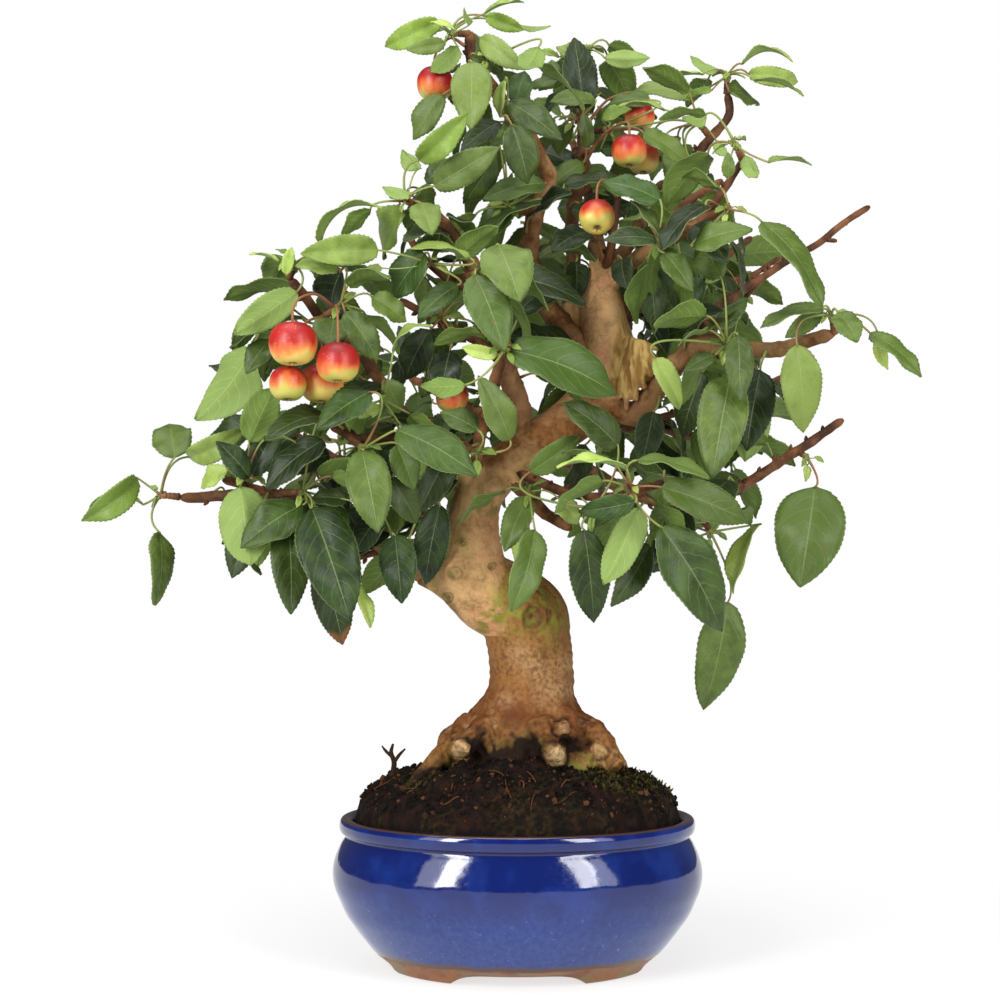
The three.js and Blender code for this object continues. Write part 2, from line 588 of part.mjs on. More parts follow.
    [430, 330, 405, 380, 21, 0, FLAT], [450, 350, 440, 400, 20, 0, FLAT]] },
];

// Sprays at the ends of the back boughs: spur, and the way the spray looks.
const BACK_SPRAYS = [
  { name: "back_high_left", spur: [516, 280, 124], away: [-0.35, 0.85, 0.4] },
  { name: "back_high_right", spur: [705, 286, 118], away: [0.5, 0.8, 0.3] },
  { name: "back_crown", spur: [573, 144, 98], away: [-0.1, 0.7, 0.7] },
  { name: "back_left", spur: [410, 377, 118], away: [-0.5, 0.8, 0.2] },
  { name: "back_left_low", spur: [364, 448, 97], away: [-0.7, 0.65, 0] },
  { name: "back_right_low", spur: [710, 442, 112], away: [0.6, 0.75, 0] },
  { name: "back_middle", spur: [585, 298, 70], away: [0.1, 0.6, 0.8] },
  { name: "back_low", spur: [468, 420, 76], away: [0.1, 0.9, -0.2] },
];
const BACK_LEAVES = 5;

// ---------------------------------------------------------------- leaf form
// The blade's half width along the leaf is base^a (1 - base)^b, scaled to reach 1.
const BASE_POWER = 0.6;
const TIP_POWER = 0.85;
const WIDEST = BASE_POWER / (BASE_POWER + TIP_POWER);
const widthCurve = (t) => t ** BASE_POWER * (1 - t) ** TIP_POWER;
const bladeShape = (t) => widthCurve(t) / widthCurve(WIDEST);

const BLADE_HALF_THICK = 0.38;
const PETIOLE_RADIUS = 0.75;
const NATURAL_LENGTH = 1.5; // of a blade, as a share of its width
const NATURAL_WIDTH = 0.42; // of a blade, as a share of its length
const YOUNG_TONE = 0.5;
const FOLD = { young: 0.38, old: 0.16 };
const BOW = { flat: 0.09, pale: 0.07, arched: 0.24 };
const WAVE = 0.16;
// Where a blade has its cross sections, by the longest blade that has them.
const BLADE_STATIONS = [
  { upTo: 25, at: [0.42] },
  { upTo: 46, at: [0.24, 0.68] },
  { upTo: Infinity, at: [0.16, 0.46, 0.78] },
];
const SHORT_STALK = 20;

// A leaf from its blade's base and tip, with the axes and bends that its surface follows.
function makeLeaf({ base, tip, width, look, roll, bow, fold, phase, spur }) {
  const span = tip.clone().sub(base);
  const length = span.length();
  const along = span.clone().divideScalar(length);
  const face = look.clone().addScaledVector(along, -look.dot(along)).normalize();
  const side = along.clone().cross(face);
  const normal = face.clone().multiplyScalar(Math.cos(roll)).addScaledVector(side, Math.sin(roll));
  const across = along.clone().cross(normal);
  return { base, along, normal, across, length, width, bow, fold, phase, core: spur.core, way: spur.way };
}

const ribDirection = (leaf, t) =>
  leaf.along.clone().addScaledVector(leaf.normal, 4 * leaf.bow * (1 - 2 * t)).normalize();

// The point of the blade at t along the rib and s across it, from -1 to 1, and lift off its face.
function bladePoint(leaf, t, s, lift) {
  const half = (leaf.width / 2) * (t > 0 && t < 1 ? bladeShape(t) : 0);
  const up = leaf.across.clone().cross(ribDirection(leaf, t));
  const wave = WAVE * half * s * Math.sin(TAU * (1.3 * t + leaf.phase));
  const rise = Math.abs(s) * half * Math.sin(leaf.fold) + wave + lift;
  return leaf.base
    .clone()
    .addScaledVector(leaf.along, leaf.length * t)
    .addScaledVector(leaf.normal, leaf.length * leaf.bow * 4 * t * (1 - t))
    .addScaledVector(leaf.across, s * half * Math.cos(leaf.fold))
    .addScaledVector(up, rise);
}

// The stalk leaves the spur and meets the blade in line with its rib.
function petiolePoint(leaf, u) {
  const reach = leaf.core.distanceTo(leaf.base);
  const bend = leaf.base
    .clone()
    .addScaledVector(ribDirection(leaf, 0), -0.4 * reach)
    .addScaledVector(leaf.way, 0.2 * reach + 3);
  return leaf.core
    .clone()
    .multiplyScalar((1 - u) ** 2)
    .addScaledVector(bend, 2 * u * (1 - u))
    .addScaledVector(leaf.base, u * u);
}

// One closed solid: a three-sided stalk that opens into the blade.
function leafSolid(leaf) {
  const short = leaf.core.distanceTo(leaf.base) < SHORT_STALK;
  const stalk = (short ? [0, 1] : [0, 0.5, 1]).map((u) => petiolePoint(leaf, u));
  const ways = directionsAlong(stalk);
  const blade = ribDirection(leaf, 0);
  const points = [];
  stalk.forEach((point, i) => {
    const turn = new THREE.Quaternion().setFromUnitVectors(blade, ways[i]);
    const side = leaf.across.clone().applyQuaternion(turn);
    const up = side.clone().cross(ways[i]);
    for (const [a, b] of [[-0.87, 0.5], [0.87, 0.5], [0, -1]]) {
      const corner = point.clone().addScaledVector(side, a * PETIOLE_RADIUS);
      points.push(corner.addScaledVector(up, b * PETIOLE_RADIUS));
    }
  });
  const triangles = [0, 1, 2];
  for (let ring = 0; ring < 3 * (stalk.length - 1); ring += 3) {
    for (let i = 0; i < 3; i++) {
      const next = (i + 1) % 3;
      triangles.push(ring + i, ring + 3 + i, ring + 3 + next, ring + i, ring + 3 + next, ring + next);
    }
  }
  const stations = BLADE_STATIONS.find(({ upTo }) => leaf.length < upTo).at;
  for (const t of stations) {
    for (const s of [-1, 0, 1]) points.push(bladePoint(leaf, t, s, BLADE_HALF_THICK));
    for (const s of [1, 0, -1]) points.push(bladePoint(leaf, t, s, -BLADE_HALF_THICK));
  }
  // from the stalk's last ring (left, right, under) to the blade's first
  const first = 3 * stalk.length;
  const [left, right, under] = [first - 3, first - 2, first - 1];
  const [a, b, c, d, e, f] = [0, 1, 2, 3, 4, 5].map((i) => first + i);
  triangles.push(left, a, b, left, b, right, right, b, c, right, c, d, right, d, under);
  triangles.push(under, d, e, under, e, f, under, f, left, left, f, a);
  for (let station = 0; station < stations.length - 1; station++) {
    const here = first + 6 * station;
    for (let i = 0; i < 6; i++) {
      const next = (i + 1) % 6;
      if (i === 3 || i === 4) {
        // the underside is split the same way as the upper side
        triangles.push(here + i, here + 6 + i, here + next, here + next, here + 6 + i, here + 6 + next);
      } else {
        triangles.push(here + i, here + 6 + i, here + 6 + next, here + i, here + 6 + next, here + next);
      }
    }
  }
  const last = first + 6 * (stations.length - 1);
  const tipTop = points.length;
  points.push(bladePoint(leaf, 1, 0, BLADE_HALF_THICK), bladePoint(leaf, 1, 0, -BLADE_HALF_THICK));
  const tipUnder = tipTop + 1;
  triangles.push(last, tipTop, last + 1, last + 1, tipTop, last + 2);
  triangles.push(last + 3, tipUnder, last + 4, last + 4, tipUnder, last + 5);
  triangles.push(last + 2, tipTop, tipUnder, last + 2, tipUnder, last + 3);
  triangles.push(last + 5, tipUnder, tipTop, last + 5, tipTop, last);
  const positions = points.flatMap((point) => [point.x, point.y, point.z]);
  return facingOut(positions, triangles);
}

// ---------------------------------------------------------------- spurs
const CORE_RADIUS = 1.9;
const CORE_LENGTH = 5;
const SPUR_RADIUS = 1.7;
const SPUR_LEAST = 4;

// The spur grows from the nearest wood; the spray's core sits on its end.
function growSpur(spray) {
  const aim = spot(...spray.spur);
  const foot = nearestWood(aim);
  const way = aim.clone().sub(foot.at).normalize();
  const reach = Math.max(foot.distance, foot.radius + SPUR_LEAST);
  const end = foot.at.clone().addScaledVector(way, reach);
  const core = end.clone().addScaledVector(way, SEAT_GAP + 0.7 * CORE_LENGTH);
  return { foot: foot.at, end, way, core };
}

const sprays = [...SPRAYS, ...BACK_SPRAYS];
const spurs = sprays.map(growSpur);
spurs.forEach(({ foot, end }) => {
  rods.push({ from: { at: foot, radius: SPUR_RADIUS }, to: { at: end, radius: SPUR_RADIUS } });
});

function coreSolid({ end, way }) {
  const points = [0, 0.5, 1].map((part) => end.clone().addScaledVector(way, SEAT_GAP + CORE_LENGTH * part));
  return tube(points, [CORE_RADIUS, CORE_RADIUS * 0.95, CORE_RADIUS * 0.5], 4);
}

// ---------------------------------------------------------------- apples
// Column, row, depth and radius of each apple, and the column, row and depth its stalk comes from.
const APPLES = [
  { at: [293, 344, -98], radius: 12.8, root: [320, 304, -72] },
  { at: [338, 363, -97], radius: 11.8, root: [326, 318, -72] },
  { at: [288, 384, -87], radius: 10.2, root: [318, 322, -60] },
  { at: [322, 384, -73], radius: 11.6, root: [324, 324, -54] },
  { at: [452, 398, -38], radius: 9, root: [444, 330, -40] },
  { at: [435, 84, -6], radius: 10.6, root: [468, 46, -8] },
  { at: [597, 217, -40], radius: 9.9, root: [610, 196, -8] },
  { at: [629, 151, 2], radius: 10.2, root: [592, 156, 14] },
  { at: [643, 159, 28], radius: 9.8, root: [594, 150, 26] },
  { at: [640, 117, 38], radius: 8.8, root: [596, 122, 38] },
];
const APPLE_PROFILE = [
  // share of the radius, and of the height from the middle: a dip at each end
  [0.0, -0.74], [0.3, -0.84], [0.74, -0.66], [0.98, -0.12], [0.86, 0.5], [0.36, 0.86], [0.0, 0.76],
];
const APPLE_SIDES = 7;
const APPLE_STALK = 0.75;
const STALK_RISE = 7;

function appleStalk({ at, radius, root }) {
  const middle = spot(...at);
  const foot = nearestWood(spot(...root));
  const spurFoot = spurs
    .map(({ foot: from, end }) => {
      const rod = { from: { at: from, radius: SPUR_RADIUS }, to: { at: end, radius: SPUR_RADIUS } };
      return nearestOn(rod, spot(...root));
    })
    .reduce((best, place) => (place.distance < best.distance ? place : best));
  const held = spurFoot.distance - spurFoot.radius < foot.distance - foot.radius ? spurFoot : foot;
  const way = spot(...root).sub(held.at).normalize();
  const start = held.at.clone().addScaledVector(way, held.radius + SEAT_GAP);
  const top = middle.clone().add(new THREE.Vector3(0, 0, 0.6 * radius));
  const neck = middle.clone().add(new THREE.Vector3(0, 0, 1.5 * radius));
  const rise = start.clone().lerp(neck, 0.45).add(new THREE.Vector3(0, 0, STALK_RISE));
  return [start, rise, neck, top];
}

function appleSolid(apple) {
  const profile = APPLE_PROFILE.map(([r, z]) => [r * apple.radius, z * apple.radius]);
  const fruit = turnedSolid(profile, APPLE_SIDES, 1);
  const middle = spot(...apple.at);
  const stalk = appleStalk(apple);
  return joined([fruit.translate(middle.toArray()), tube(stalk, stalk.map(() => APPLE_STALK), 3)]);
}

const balls = APPLES.map((apple) => ({ at: spot(...apple.at), radius: apple.radius }));
const stalkRods = APPLES.map(appleStalk).flatMap((stalk) =>
  stalk.slice(1).map((point, i) => ({
    from: { at: stalk[i], radius: APPLE_STALK },
    to: { at: point, radius: APPLE_STALK },
  })));

// ---------------------------------------------------------------- leaves find their place
const BLADE_CLEAR = 4.4; // between the sampled points of two leaves
const WOOD_CLEAR = 1.6;
const SAMPLE_PITCH = 4.5;
const FREE_NEAR_CORE = 9; // stalks of one spray run together here
const SHIFTS = [0, -4, 4, -8, 8, -12, 12, -16, 16, -20, 20, -25, 25, -30, 30, -36, 36, -42];
const LEANS = [1, -1, 0.3];

function samplesOf(leaf) {
  const points = [];
  const rows = Math.ceil(leaf.length / SAMPLE_PITCH) + 1;
  const columns = Math.ceil(leaf.width / SAMPLE_PITCH) + 1;
  for (let row = 0; row < rows; row++) {
    for (let column = 0; column < columns; column++) {
      points.push(bladePoint(leaf, 0.02 + (0.98 * row) / (rows - 1), -1 + (2 * column) / (columns - 1), 0));
    }
  }
  const stalk = Math.ceil(leaf.core.distanceTo(leaf.base) / SAMPLE_PITCH) + 1;
  for (let i = 1; i < stalk; i++) {
    points.push(petiolePoint(leaf, i / stalk));
  }
  return points;
}

const placed = []; // leaves with their sampled points and the ball round them

function ballRound(points) {
  const middle = new THREE.Vector3();
  points.forEach((point) => middle.add(point));
  middle.divideScalar(points.length);
  const radius = Math.max(...points.map((point) => point.distanceTo(middle)));
  return { middle, radius };
}

// How far a leaf is from the nearest thing, less what it needs.
function clearOf(leaf, points, around) {
  let least = Infinity;
  const free = points.filter((point) => point.distanceTo(leaf.core) > FREE_NEAR_CORE);
  for (const rod of [...rods, ...stalkRods]) {
    const near = nearestOn(rod, around.middle);
    const thick = Math.max(rod.from.radius, rod.to.radius);
    if (near.distance - thick > around.radius + least + WOOD_CLEAR) continue;
    for (const point of free) {
      const place = nearestOn(rod, point);
      least = Math.min(least, place.distance - place.radius - WOOD_CLEAR);
    }
  }
  for (const ball of balls) {
    for (const point of points) {
      least = Math.min(least, ball.at.distanceTo(point) - ball.radius - WOOD_CLEAR);
    }
  }
  for (const spur of spurs) {
    if (spur.core === leaf.core) continue;
    for (const point of points) {
      least = Math.min(least, spur.core.distanceTo(point) - CORE_LENGTH);
    }
  }
  for (const other of placed) {
    if (other.around.middle.distanceTo(around.middle) > other.around.radius + around.radius + BLADE_CLEAR) {
      continue;
    }
    const same = other.leaf.core === leaf.core;
    for (const point of same ? free : points) {
      for (const theirs of same ? other.free : other.points) {
        least = Math.min(least, point.distanceTo(theirs) - BLADE_CLEAR);
      }
    }
  }
  return least;
}

// The first of the tries that is clear enough of everything, or else the clearest of them.
function clearest(tries, enough) {
  let best = null;
  for (const leaf of tries) {
    const points = samplesOf(leaf);
    const around = ballRound(points);
    const clear = clearOf(leaf, points, around);
    if (best === null || clear > best.clear) {
      best = { leaf, points, around, clear };
    }
    if (clear >= enough) break;
  }
  return best;
}

function settle(best) {
  best.free = best.points.filter((point) => point.distanceTo(best.leaf.core) > FREE_NEAR_CORE);
  placed.push(best);
  return best.leaf;
}

const VIEWER_LOOK = new THREE.Vector3(0, -0.85, 0.53);

function frontLeaf(row, count, spur, shift, lean) {
  const [baseColumn, baseRow, tipColumn, tipRow, middleWidth, tone, form] = row;
  const depth = spur.core.y - 3 - 8 * share(count) + shift;
  const seenWidth = (middleWidth * gridStep(depth)) / gridStep(0);
  const base = spot(baseColumn, baseRow, depth);
  const seen = spot(tipColumn, tipRow, depth).distanceTo(base);
  const natural = Math.max(1.04 * seen, NATURAL_LENGTH * seenWidth);
  const toward = count % 3 === 2 ? 1 : -1;
  const reach = Math.min(Math.sqrt(natural * natural - seen * seen), 30) * toward * lean;
  const tip = spot(tipColumn, tipRow, depth + reach);
  const width = Math.max(seenWidth, NATURAL_WIDTH * natural);
  const young = tone > YOUNG_TONE;
  const look = VIEWER_LOOK.clone().multiplyScalar(form === PALE ? -1 : 1);
  return makeLeaf({
    base,
    tip,
    width,
    look,
    roll: Math.acos(seenWidth / width) * (count % 2 ? 1 : -1) * 0.9,
    bow: BOW[form],
    fold: young ? FOLD.young : FOLD.old,
    phase: share(3 * count),
    spur,
  });
}

const BACK_SIZE = { stalk: 17, length: 46 };

// A leaf laid out by rule: fanned about the way that it looks, with its blade drooping.
function fannedLeaf(outward, size, count, spur, shift, lean) {
  const helper = new THREE.Vector3(0, 0, 1);
  const aside = outward.clone().cross(helper).normalize();
  const above = aside.clone().cross(outward);
  const angle = TAU * share(count) + 0.05 * shift;
  const way = outward
    .clone()
    .multiplyScalar(0.55)
    .addScaledVector(aside, Math.cos(angle))
    .addScaledVector(above, 0.8 * Math.sin(angle) * lean)
    .normalize();
  const base = spur.core.clone().addScaledVector(way, size.stalk * (1 + 0.47 * share(2 * count)));
  const length = size.length * (0.72 + 0.5 * share(5 * count));
  const droop = way.clone().add(new THREE.Vector3(0, 0.15, -0.75)).normalize();
  const tip = base.clone().addScaledVector(droop, length);
  return makeLeaf({
    base,
    tip,
    width: 0.52 * length,
    look: outward.clone().add(new THREE.Vector3(0, 0, 0.9)).normalize(),
    roll: 0.5 * (share(7 * count) - 0.5),
    bow: BOW.flat,
    fold: FOLD.old,
    phase: share(3 * count),
    spur,
  });
}

const withEach = (shifts, leans, make) =>
  shifts.flatMap((shift) => leans.map((lean) => make(shift, lean)));

function sprayLeaves(spray, index) {
  const spur = spurs[index];
  if (spray.leaves) {
    return spray.leaves.map((row, i) => settle(clearest(
      withEach(SHIFTS, LEANS, (shift, lean) => frontLeaf(row, i + index, spur, shift, lean)), 0)));
  }
  const outward = new THREE.Vector3(...spray.away).normalize();
  return Array.from({ length: BACK_LEAVES }, (_, i) => settle(clearest(
    withEach(SHIFTS, LEANS, (shift, lean) =>
      fannedLeaf(outward, BACK_SIZE, i + 3 * index, spur, shift, lean)), 0)));
}

// ---------------------------------------------------------------- shaded leaves inside the tree
// Where the tree is dense: column, row, half width and half height on the front grid.
const DENSE_PLACES = [
  [365, 320, 120, 115], [330, 520, 95, 75], [500, 235, 85, 120], [440, 450, 80, 80],
  [650, 260, 90, 110], [650, 495, 100, 55], [480, 75, 65, 50], [620, 100, 80, 55],
  [590, 430, 60, 55], [720, 400, 50, 70], [270, 400, 60, 80],
];
// Wood that stays in sight, in the same terms and with its depth.
const OPEN_WOOD = [
  [602, 335, 20, 68, 0], [638, 374, 22, 42, 0], [540, 435, 22, 38, 0], [482, 418, 24, 64, 0],
];
const OPEN_MARGIN = 4; // columns round each apple
const SHADE_STALKS = [13, 21, 30]; // usual length of each stalk that is tried on a spur
const SHADE_LENGTH = 36;
const SHADE_SHIFTS = [0, 19, -19, 38, -38, 57];
const SHADE_LEANS = [1, -1];
const SHADE_CLEAR = 1; // on top of what every leaf keeps
const STALKS_APART = 3; // a shaded leaf's from an apple's
const SHADE_TOP = 540; // no shaded leaf reaches higher or further back
const SHADE_BACK = 165;

function seenAt(point) {
  const step = gridStep(point.y);
  const column = GRID_MIDDLE + (point.x - EYE_SIDE) / step;
  const row = GRID_MIDDLE + (EYE_HEIGHT - point.z) / step;
  return { column, row };
}

function within({ column, row }, [middleColumn, middleRow, halfWidth, halfHeight]) {
  return ((column - middleColumn) / halfWidth) ** 2 + ((row - middleRow) / halfHeight) ** 2 < 1;
}

const openPlaces = [
  ...OPEN_WOOD,
  ...APPLES.map(({ at: [column, row, depth], radius }) => {
    const seen = radius / gridStep(depth) + OPEN_MARGIN;
    return [column, row, seen, seen, depth];
  }),
];

// A shaded leaf stays where the tree is dense, and in front of no apple and no bare wood.
function mayShade(leaf) {
  if (!DENSE_PLACES.some((place) => within(seenAt(bladePoint(leaf, 0.5, 0, 0)), place))) return false;
  for (const t of [0.1, 0.3, 0.5, 0.7, 0.9]) {
    for (const s of [-0.8, 0, 0.8]) {
      const point = bladePoint(leaf, t, s, 0);
      if (point.z > SHADE_TOP || point.y > SHADE_BACK) return false;
      const seen = seenAt(point);
      if (openPlaces.some((place) => point.y < place[4] && within(seen, place))) return false;
    }
  }
  const stalk = Array.from({ length: 12 }, (_, i) => petiolePoint(leaf, i / 11));
  return stalk.every((point) => stalkRods.every((rod) => nearestOn(rod, point).distance > STALKS_APART));
}

function shadeLeaves(index) {
  const spur = spurs[index];
  const inward = new THREE.Vector3(0, 0.55, 0.1).addScaledVector(spur.way, 0.5).normalize();
  const leaves = [];
  SHADE_STALKS.forEach((stalk, i) => {
    const size = { stalk, length: SHADE_LENGTH };
    const tries = withEach(SHADE_SHIFTS, SHADE_LEANS, (shift, lean) =>
      fannedLeaf(inward, size, 5 * index + i, spur, shift, lean));
    const best = clearest(tries.filter(mayShade), SHADE_CLEAR);
    if (best !== null && best.clear >= SHADE_CLEAR) leaves.push(settle(best));
  });
  return leaves;
}

// ---------------------------------------------------------------- the tree in its pot
const glaze = finish(0x27407f, 0.12);
const earth = finish(0x2a1a13, 0.95);
const bark = finish(0x9a7650, 0.8);
const apple = finish(0xc9472a, 0.35);
const foliage = finish(0x4b6430, 0.55);

const bonsai = new THREE.Group();
bonsai.add(meshOf("pot", buildPot(), glaze));
bonsai.add(meshOf("soil", buildSoil(standingWood(SEAT_GAP + 0.05)), earth));

const spurSolids = spurs.map(({ foot, end }) =>
  tube([foot, end], [SPUR_RADIUS + 0.5, SPUR_RADIUS], TWIG_SIDES));
const wood = joined([
  standingWood(0),
  listedTube(TRUNK_TOP, 8, 0),
  listedTube(BROKEN_BOUGH, 8, 0),
  ...BOUGHS.map(boughSolid),
  ...spurSolids,
]);
bonsai.add(meshOf("trunk", wood, bark));

APPLES.forEach((fruit, i) => {
  bonsai.add(meshOf(`apple_${i + 1}`, appleSolid(fruit), apple));
});

// The listed leaves find their places first, then the shaded ones between them.
const leavesOf = sprays.map(sprayLeaves);
sprays.forEach((spray, index) => {
  const leaves = [...leavesOf[index], ...shadeLeaves(index)].map(leafSolid);
  bonsai.add(meshOf(`leaves_${spray.name}`, joined([coreSolid(spurs[index]), ...leaves]), foliage));
});

// The origin is under the middle of the whole thing.
const reach = new THREE.Box3().setFromObject(bonsai);
const middle = reach.getCenter(new THREE.Vector3());
bonsai.position.set(-middle.x, -middle.y, 0);

export default bonsai;
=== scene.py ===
"""A crabapple grown as a bonsai in a glazed oval pot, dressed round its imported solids.

Lengths are millimetres until a mesh is made, which holds metres. +Z is up, and the viewer looks
along +Y. Places on the tree are columns and rows of a front grid of 1000 by 1000, with a depth.
"""

import logging
import math
from collections.abc import Callable, Mapping, Sequence
from dataclasses import dataclass, field, replace
from enum import Enum
from functools import partial

import bpy
import numpy as np
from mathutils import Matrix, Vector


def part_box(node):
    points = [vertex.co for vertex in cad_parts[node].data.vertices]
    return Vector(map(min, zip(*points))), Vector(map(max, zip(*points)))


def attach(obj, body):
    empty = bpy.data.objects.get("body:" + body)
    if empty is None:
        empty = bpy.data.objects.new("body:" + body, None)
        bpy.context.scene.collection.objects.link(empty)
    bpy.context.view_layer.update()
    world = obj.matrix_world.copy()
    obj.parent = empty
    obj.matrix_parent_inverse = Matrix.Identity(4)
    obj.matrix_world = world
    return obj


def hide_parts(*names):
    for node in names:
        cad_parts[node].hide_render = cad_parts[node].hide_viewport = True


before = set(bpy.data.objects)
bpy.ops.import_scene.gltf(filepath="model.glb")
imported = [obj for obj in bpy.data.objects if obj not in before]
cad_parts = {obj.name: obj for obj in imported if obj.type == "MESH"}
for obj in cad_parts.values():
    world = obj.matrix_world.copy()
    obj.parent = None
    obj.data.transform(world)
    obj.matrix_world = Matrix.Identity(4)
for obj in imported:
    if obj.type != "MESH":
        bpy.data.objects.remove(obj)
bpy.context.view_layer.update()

Array = np.ndarray
Socket = bpy.types.NodeSocket
Colour = tuple[float, float, float, float]
log = logging.getLogger("bonsai")

TAU = 2 * math.pi
METRE = 0.001  # a millimetre in metres
BODY = "root"


class Slot(Enum):
    """The record's material slots."""

    GLAZE = "glaze"
    SOIL = "soil"
    BARK = "bark"
    APPLE = "apple_skin"
    FOLIAGE = "foliage"


# ---- front grid
EYE_BACK = 1250.0  # in front of the pot's middle
EYE_HEIGHT = 266.0
EYE_SIDE = -10.0
GRID_FOCAL = 2185.0
GRID_MIDDLE = 500.0
SEAT_GAP = 0.3  # between pieces that touch each other
GOLDEN_SHARE = 0.618034


def joined(*parts: Array | float) -> Array:
    """Join x, y and z, each an array or a number, into points."""
    return np.stack(np.broadcast_arrays(*parts), axis=-1)


def grid_step(depth: Array | float) -> Array | float:
    """Return the millimetres that one grid column spans at a depth."""
    return (EYE_BACK + depth) / GRID_FOCAL


def spot(column: Array | float, row: Array | float, depth: Array | float) -> Array:
    """Place a column, row and depth of the front grid.

    Formula: the offset from the grid's middle, times the step at that depth, from the eye.

    Args:
        column: grid columns, from the left.
        row: grid rows, from the top.
        depth: how far behind the pot's middle, in mm.

    Returns:
        The points, in mm, with x, y and z last.
    """
    column, row, depth = (np.asarray(part, dtype=float) for part in (column, row, depth))
    step = grid_step(depth)
    return joined(EYE_SIDE + (column - GRID_MIDDLE) * step, depth, EYE_HEIGHT - (row - GRID_MIDDLE) * step)


def seen_at(points: Array) -> tuple[Array, Array]:
    """Return the column and row where points are seen."""
    step = grid_step(points[..., 1])
    column = (points[..., 0] - EYE_SIDE) / step + GRID_MIDDLE
    return column, (EYE_HEIGHT - points[..., 2]) / step + GRID_MIDDLE


def row_height(row: float) -> float:
    """Return the height of a grid row at the pot's middle."""
    return EYE_HEIGHT - (row - GRID_MIDDLE) * EYE_BACK / GRID_FOCAL


def listed(rows: Sequence[Sequence[float]]) -> Array:
    """Place rows of column, row, depth and radius as x, y, z and radius."""
    table = np.array(rows, dtype=float)
    return np.column_stack([spot(table[:, 0], table[:, 1], table[:, 2]), table[:, 3]])


def share(count: Array | float) -> Array | float:
    """Return a number from 0 to 1 that is spread evenly over the counted things."""
    return (count * GOLDEN_SHARE) % 1.0


def unit(vectors: Array) -> Array:
    """Scale each vector to length one."""
    return vectors / np.linalg.norm(vectors, axis=-1, keepdims=True)


def soft_step(value: Array, low: float, high: float) -> Array:
    """Rise from 0 at low to 1 at high, as three squares less two cubes of the part between."""
    part = np.clip((value - low) / (high - low), 0.0, 1.0)
    return part * part * (3 - 2 * part)


def bell(offset: Array, reach: float, power: int = 2) -> Array:
    """Fall from 1: e to the minus square, or another power, of the offset over its reach."""
    return np.exp(-((offset / reach) ** power))


def lattice_noise(points: Array, pitch: float, seed: int) -> Array:
    """Work out smooth noise from -1 to 1.

    Formula: each whole-number corner has a value from the sine of a weighted sum of its place,
    and a point blends the eight corners round it by soft steps.

    Args:
        points: places in mm.
        pitch: the lattice's spacing.
        seed: a number that changes the corners' values.

    Returns:
        The noise at each point.
    """
    place = points / pitch
    corner = np.floor(place)
    part = place - corner
    part = part * part * (3 - 2 * part)
    total = np.zeros(points.shape[:-1])
    for step in np.ndindex(2, 2, 2):
        at = corner + step
        mixed = at[..., 0] * 127.1 + at[..., 1] * 311.7 + at[..., 2] * 74.7 + seed * 53.3
        value = np.modf(np.abs(np.sin(mixed)) * 43758.5453)[0]
        total += np.prod(np.where(np.array(step) == 1, part, 1 - part), axis=-1) * value
    return 2 * total - 1


def rough_noise(points: Array, pitch: float, seed: int, layers: int = 3) -> Array:
    """Add layers of noise, each with half the pitch and half the height of the one before."""
    scales = 0.5 ** np.arange(layers)
    parts = [scale * lattice_noise(points, pitch * scale, seed + i) for i, scale in enumerate(scales)]
    return np.sum(parts, axis=0) / scales.sum()


# ---- curves and surfaces
def smooth_curve(knots: Array, pitch: float) -> Array:
    """Run a smooth curve through knots.

    Formula: between two knots a cubic whose slopes at the knots are the differences of their
    neighbours over the length between those neighbours.

    Args:
        knots: one row each, x, y and z first and any other values after them.
        pitch: the length from one station to the next, in mm.

    Returns:
        The stations, with the same columns as the knots.
    """
    steps = np.linalg.norm(np.diff(knots[:, :3], axis=0), axis=1)
    marks = np.concatenate([[0.0], np.cumsum(steps)])
    slopes = np.gradient(knots, marks, axis=0)
    place = np.linspace(0.0, marks[-1], max(3, math.ceil(marks[-1] / pitch) + 1))
    low = np.clip(np.searchsorted(marks, place, side="right") - 1, 0, len(steps) - 1)
    length = steps[low][:, None]
    u = (place - marks[low])[:, None] / length
    return (
        (2 * u**3 - 3 * u**2 + 1) * knots[low]
        + (u**3 - 2 * u**2 + u) * length * slopes[low]
        + (3 * u**2 - 2 * u**3) * knots[low + 1]
        + (u**3 - u**2) * length * slopes[low + 1]
    )


def path_frames(path: Array) -> tuple[Array, Array, Array]:
    """Give each station of a path its direction and two square to it.

    Formula: across is square to the path and to the axis that the path follows least, and up is
    square to both.
    """
    along = unit(np.gradient(path, axis=0))
    axis = np.eye(3)[np.argmin(np.abs(along).max(axis=0))]
    across = unit(np.cross(axis, along))
    return along, across, np.cross(along, across)


def ring_angles(sides: int) -> Array:
    """Return the angles of the points of a ring."""
    return TAU * np.arange(sides) / sides


def sweep(path: Array, radii: Array, sides: int) -> Array:
    """Carry a circle along a path.

    Formula: station plus radius times (cosine of the angle across plus its sine up).

    Args:
        path: the stations, in mm.
        radii: a radius for each station.
        sides: the points round each ring.

    Returns:
        A grid of stations by sides.
    """
    _, across, up = path_frames(path)
    angle = ring_angles(sides)[:, None]
    ring = np.cos(angle) * across[:, None] + np.sin(angle) * up[:, None]
    return path[:, None] + radii[:, None, None] * ring


def tube(knots: Array, pitch: float, sides: int, girth: float = 1.0) -> Array:
    """Carry a circle along the smooth curve through knots of x, y, z and radius."""
    curve = smooth_curve(knots, pitch)
    return sweep(curve[:, :3], girth * curve[:, 3], sides)


def turned(profile: Array, sides: int, flatten: float = 1.0) -> Array:
    """Turn a profile of radii and heights about the upright axis, flattened to an oval.

    Formula: x is the radius times the angle's cosine, y is flatten times radius times its sine.
    """
    angle = ring_angles(sides)
    radius, height = profile[:, :1], profile[:, 1:]
    return joined(radius * np.cos(angle), flatten * radius * np.sin(angle), height)


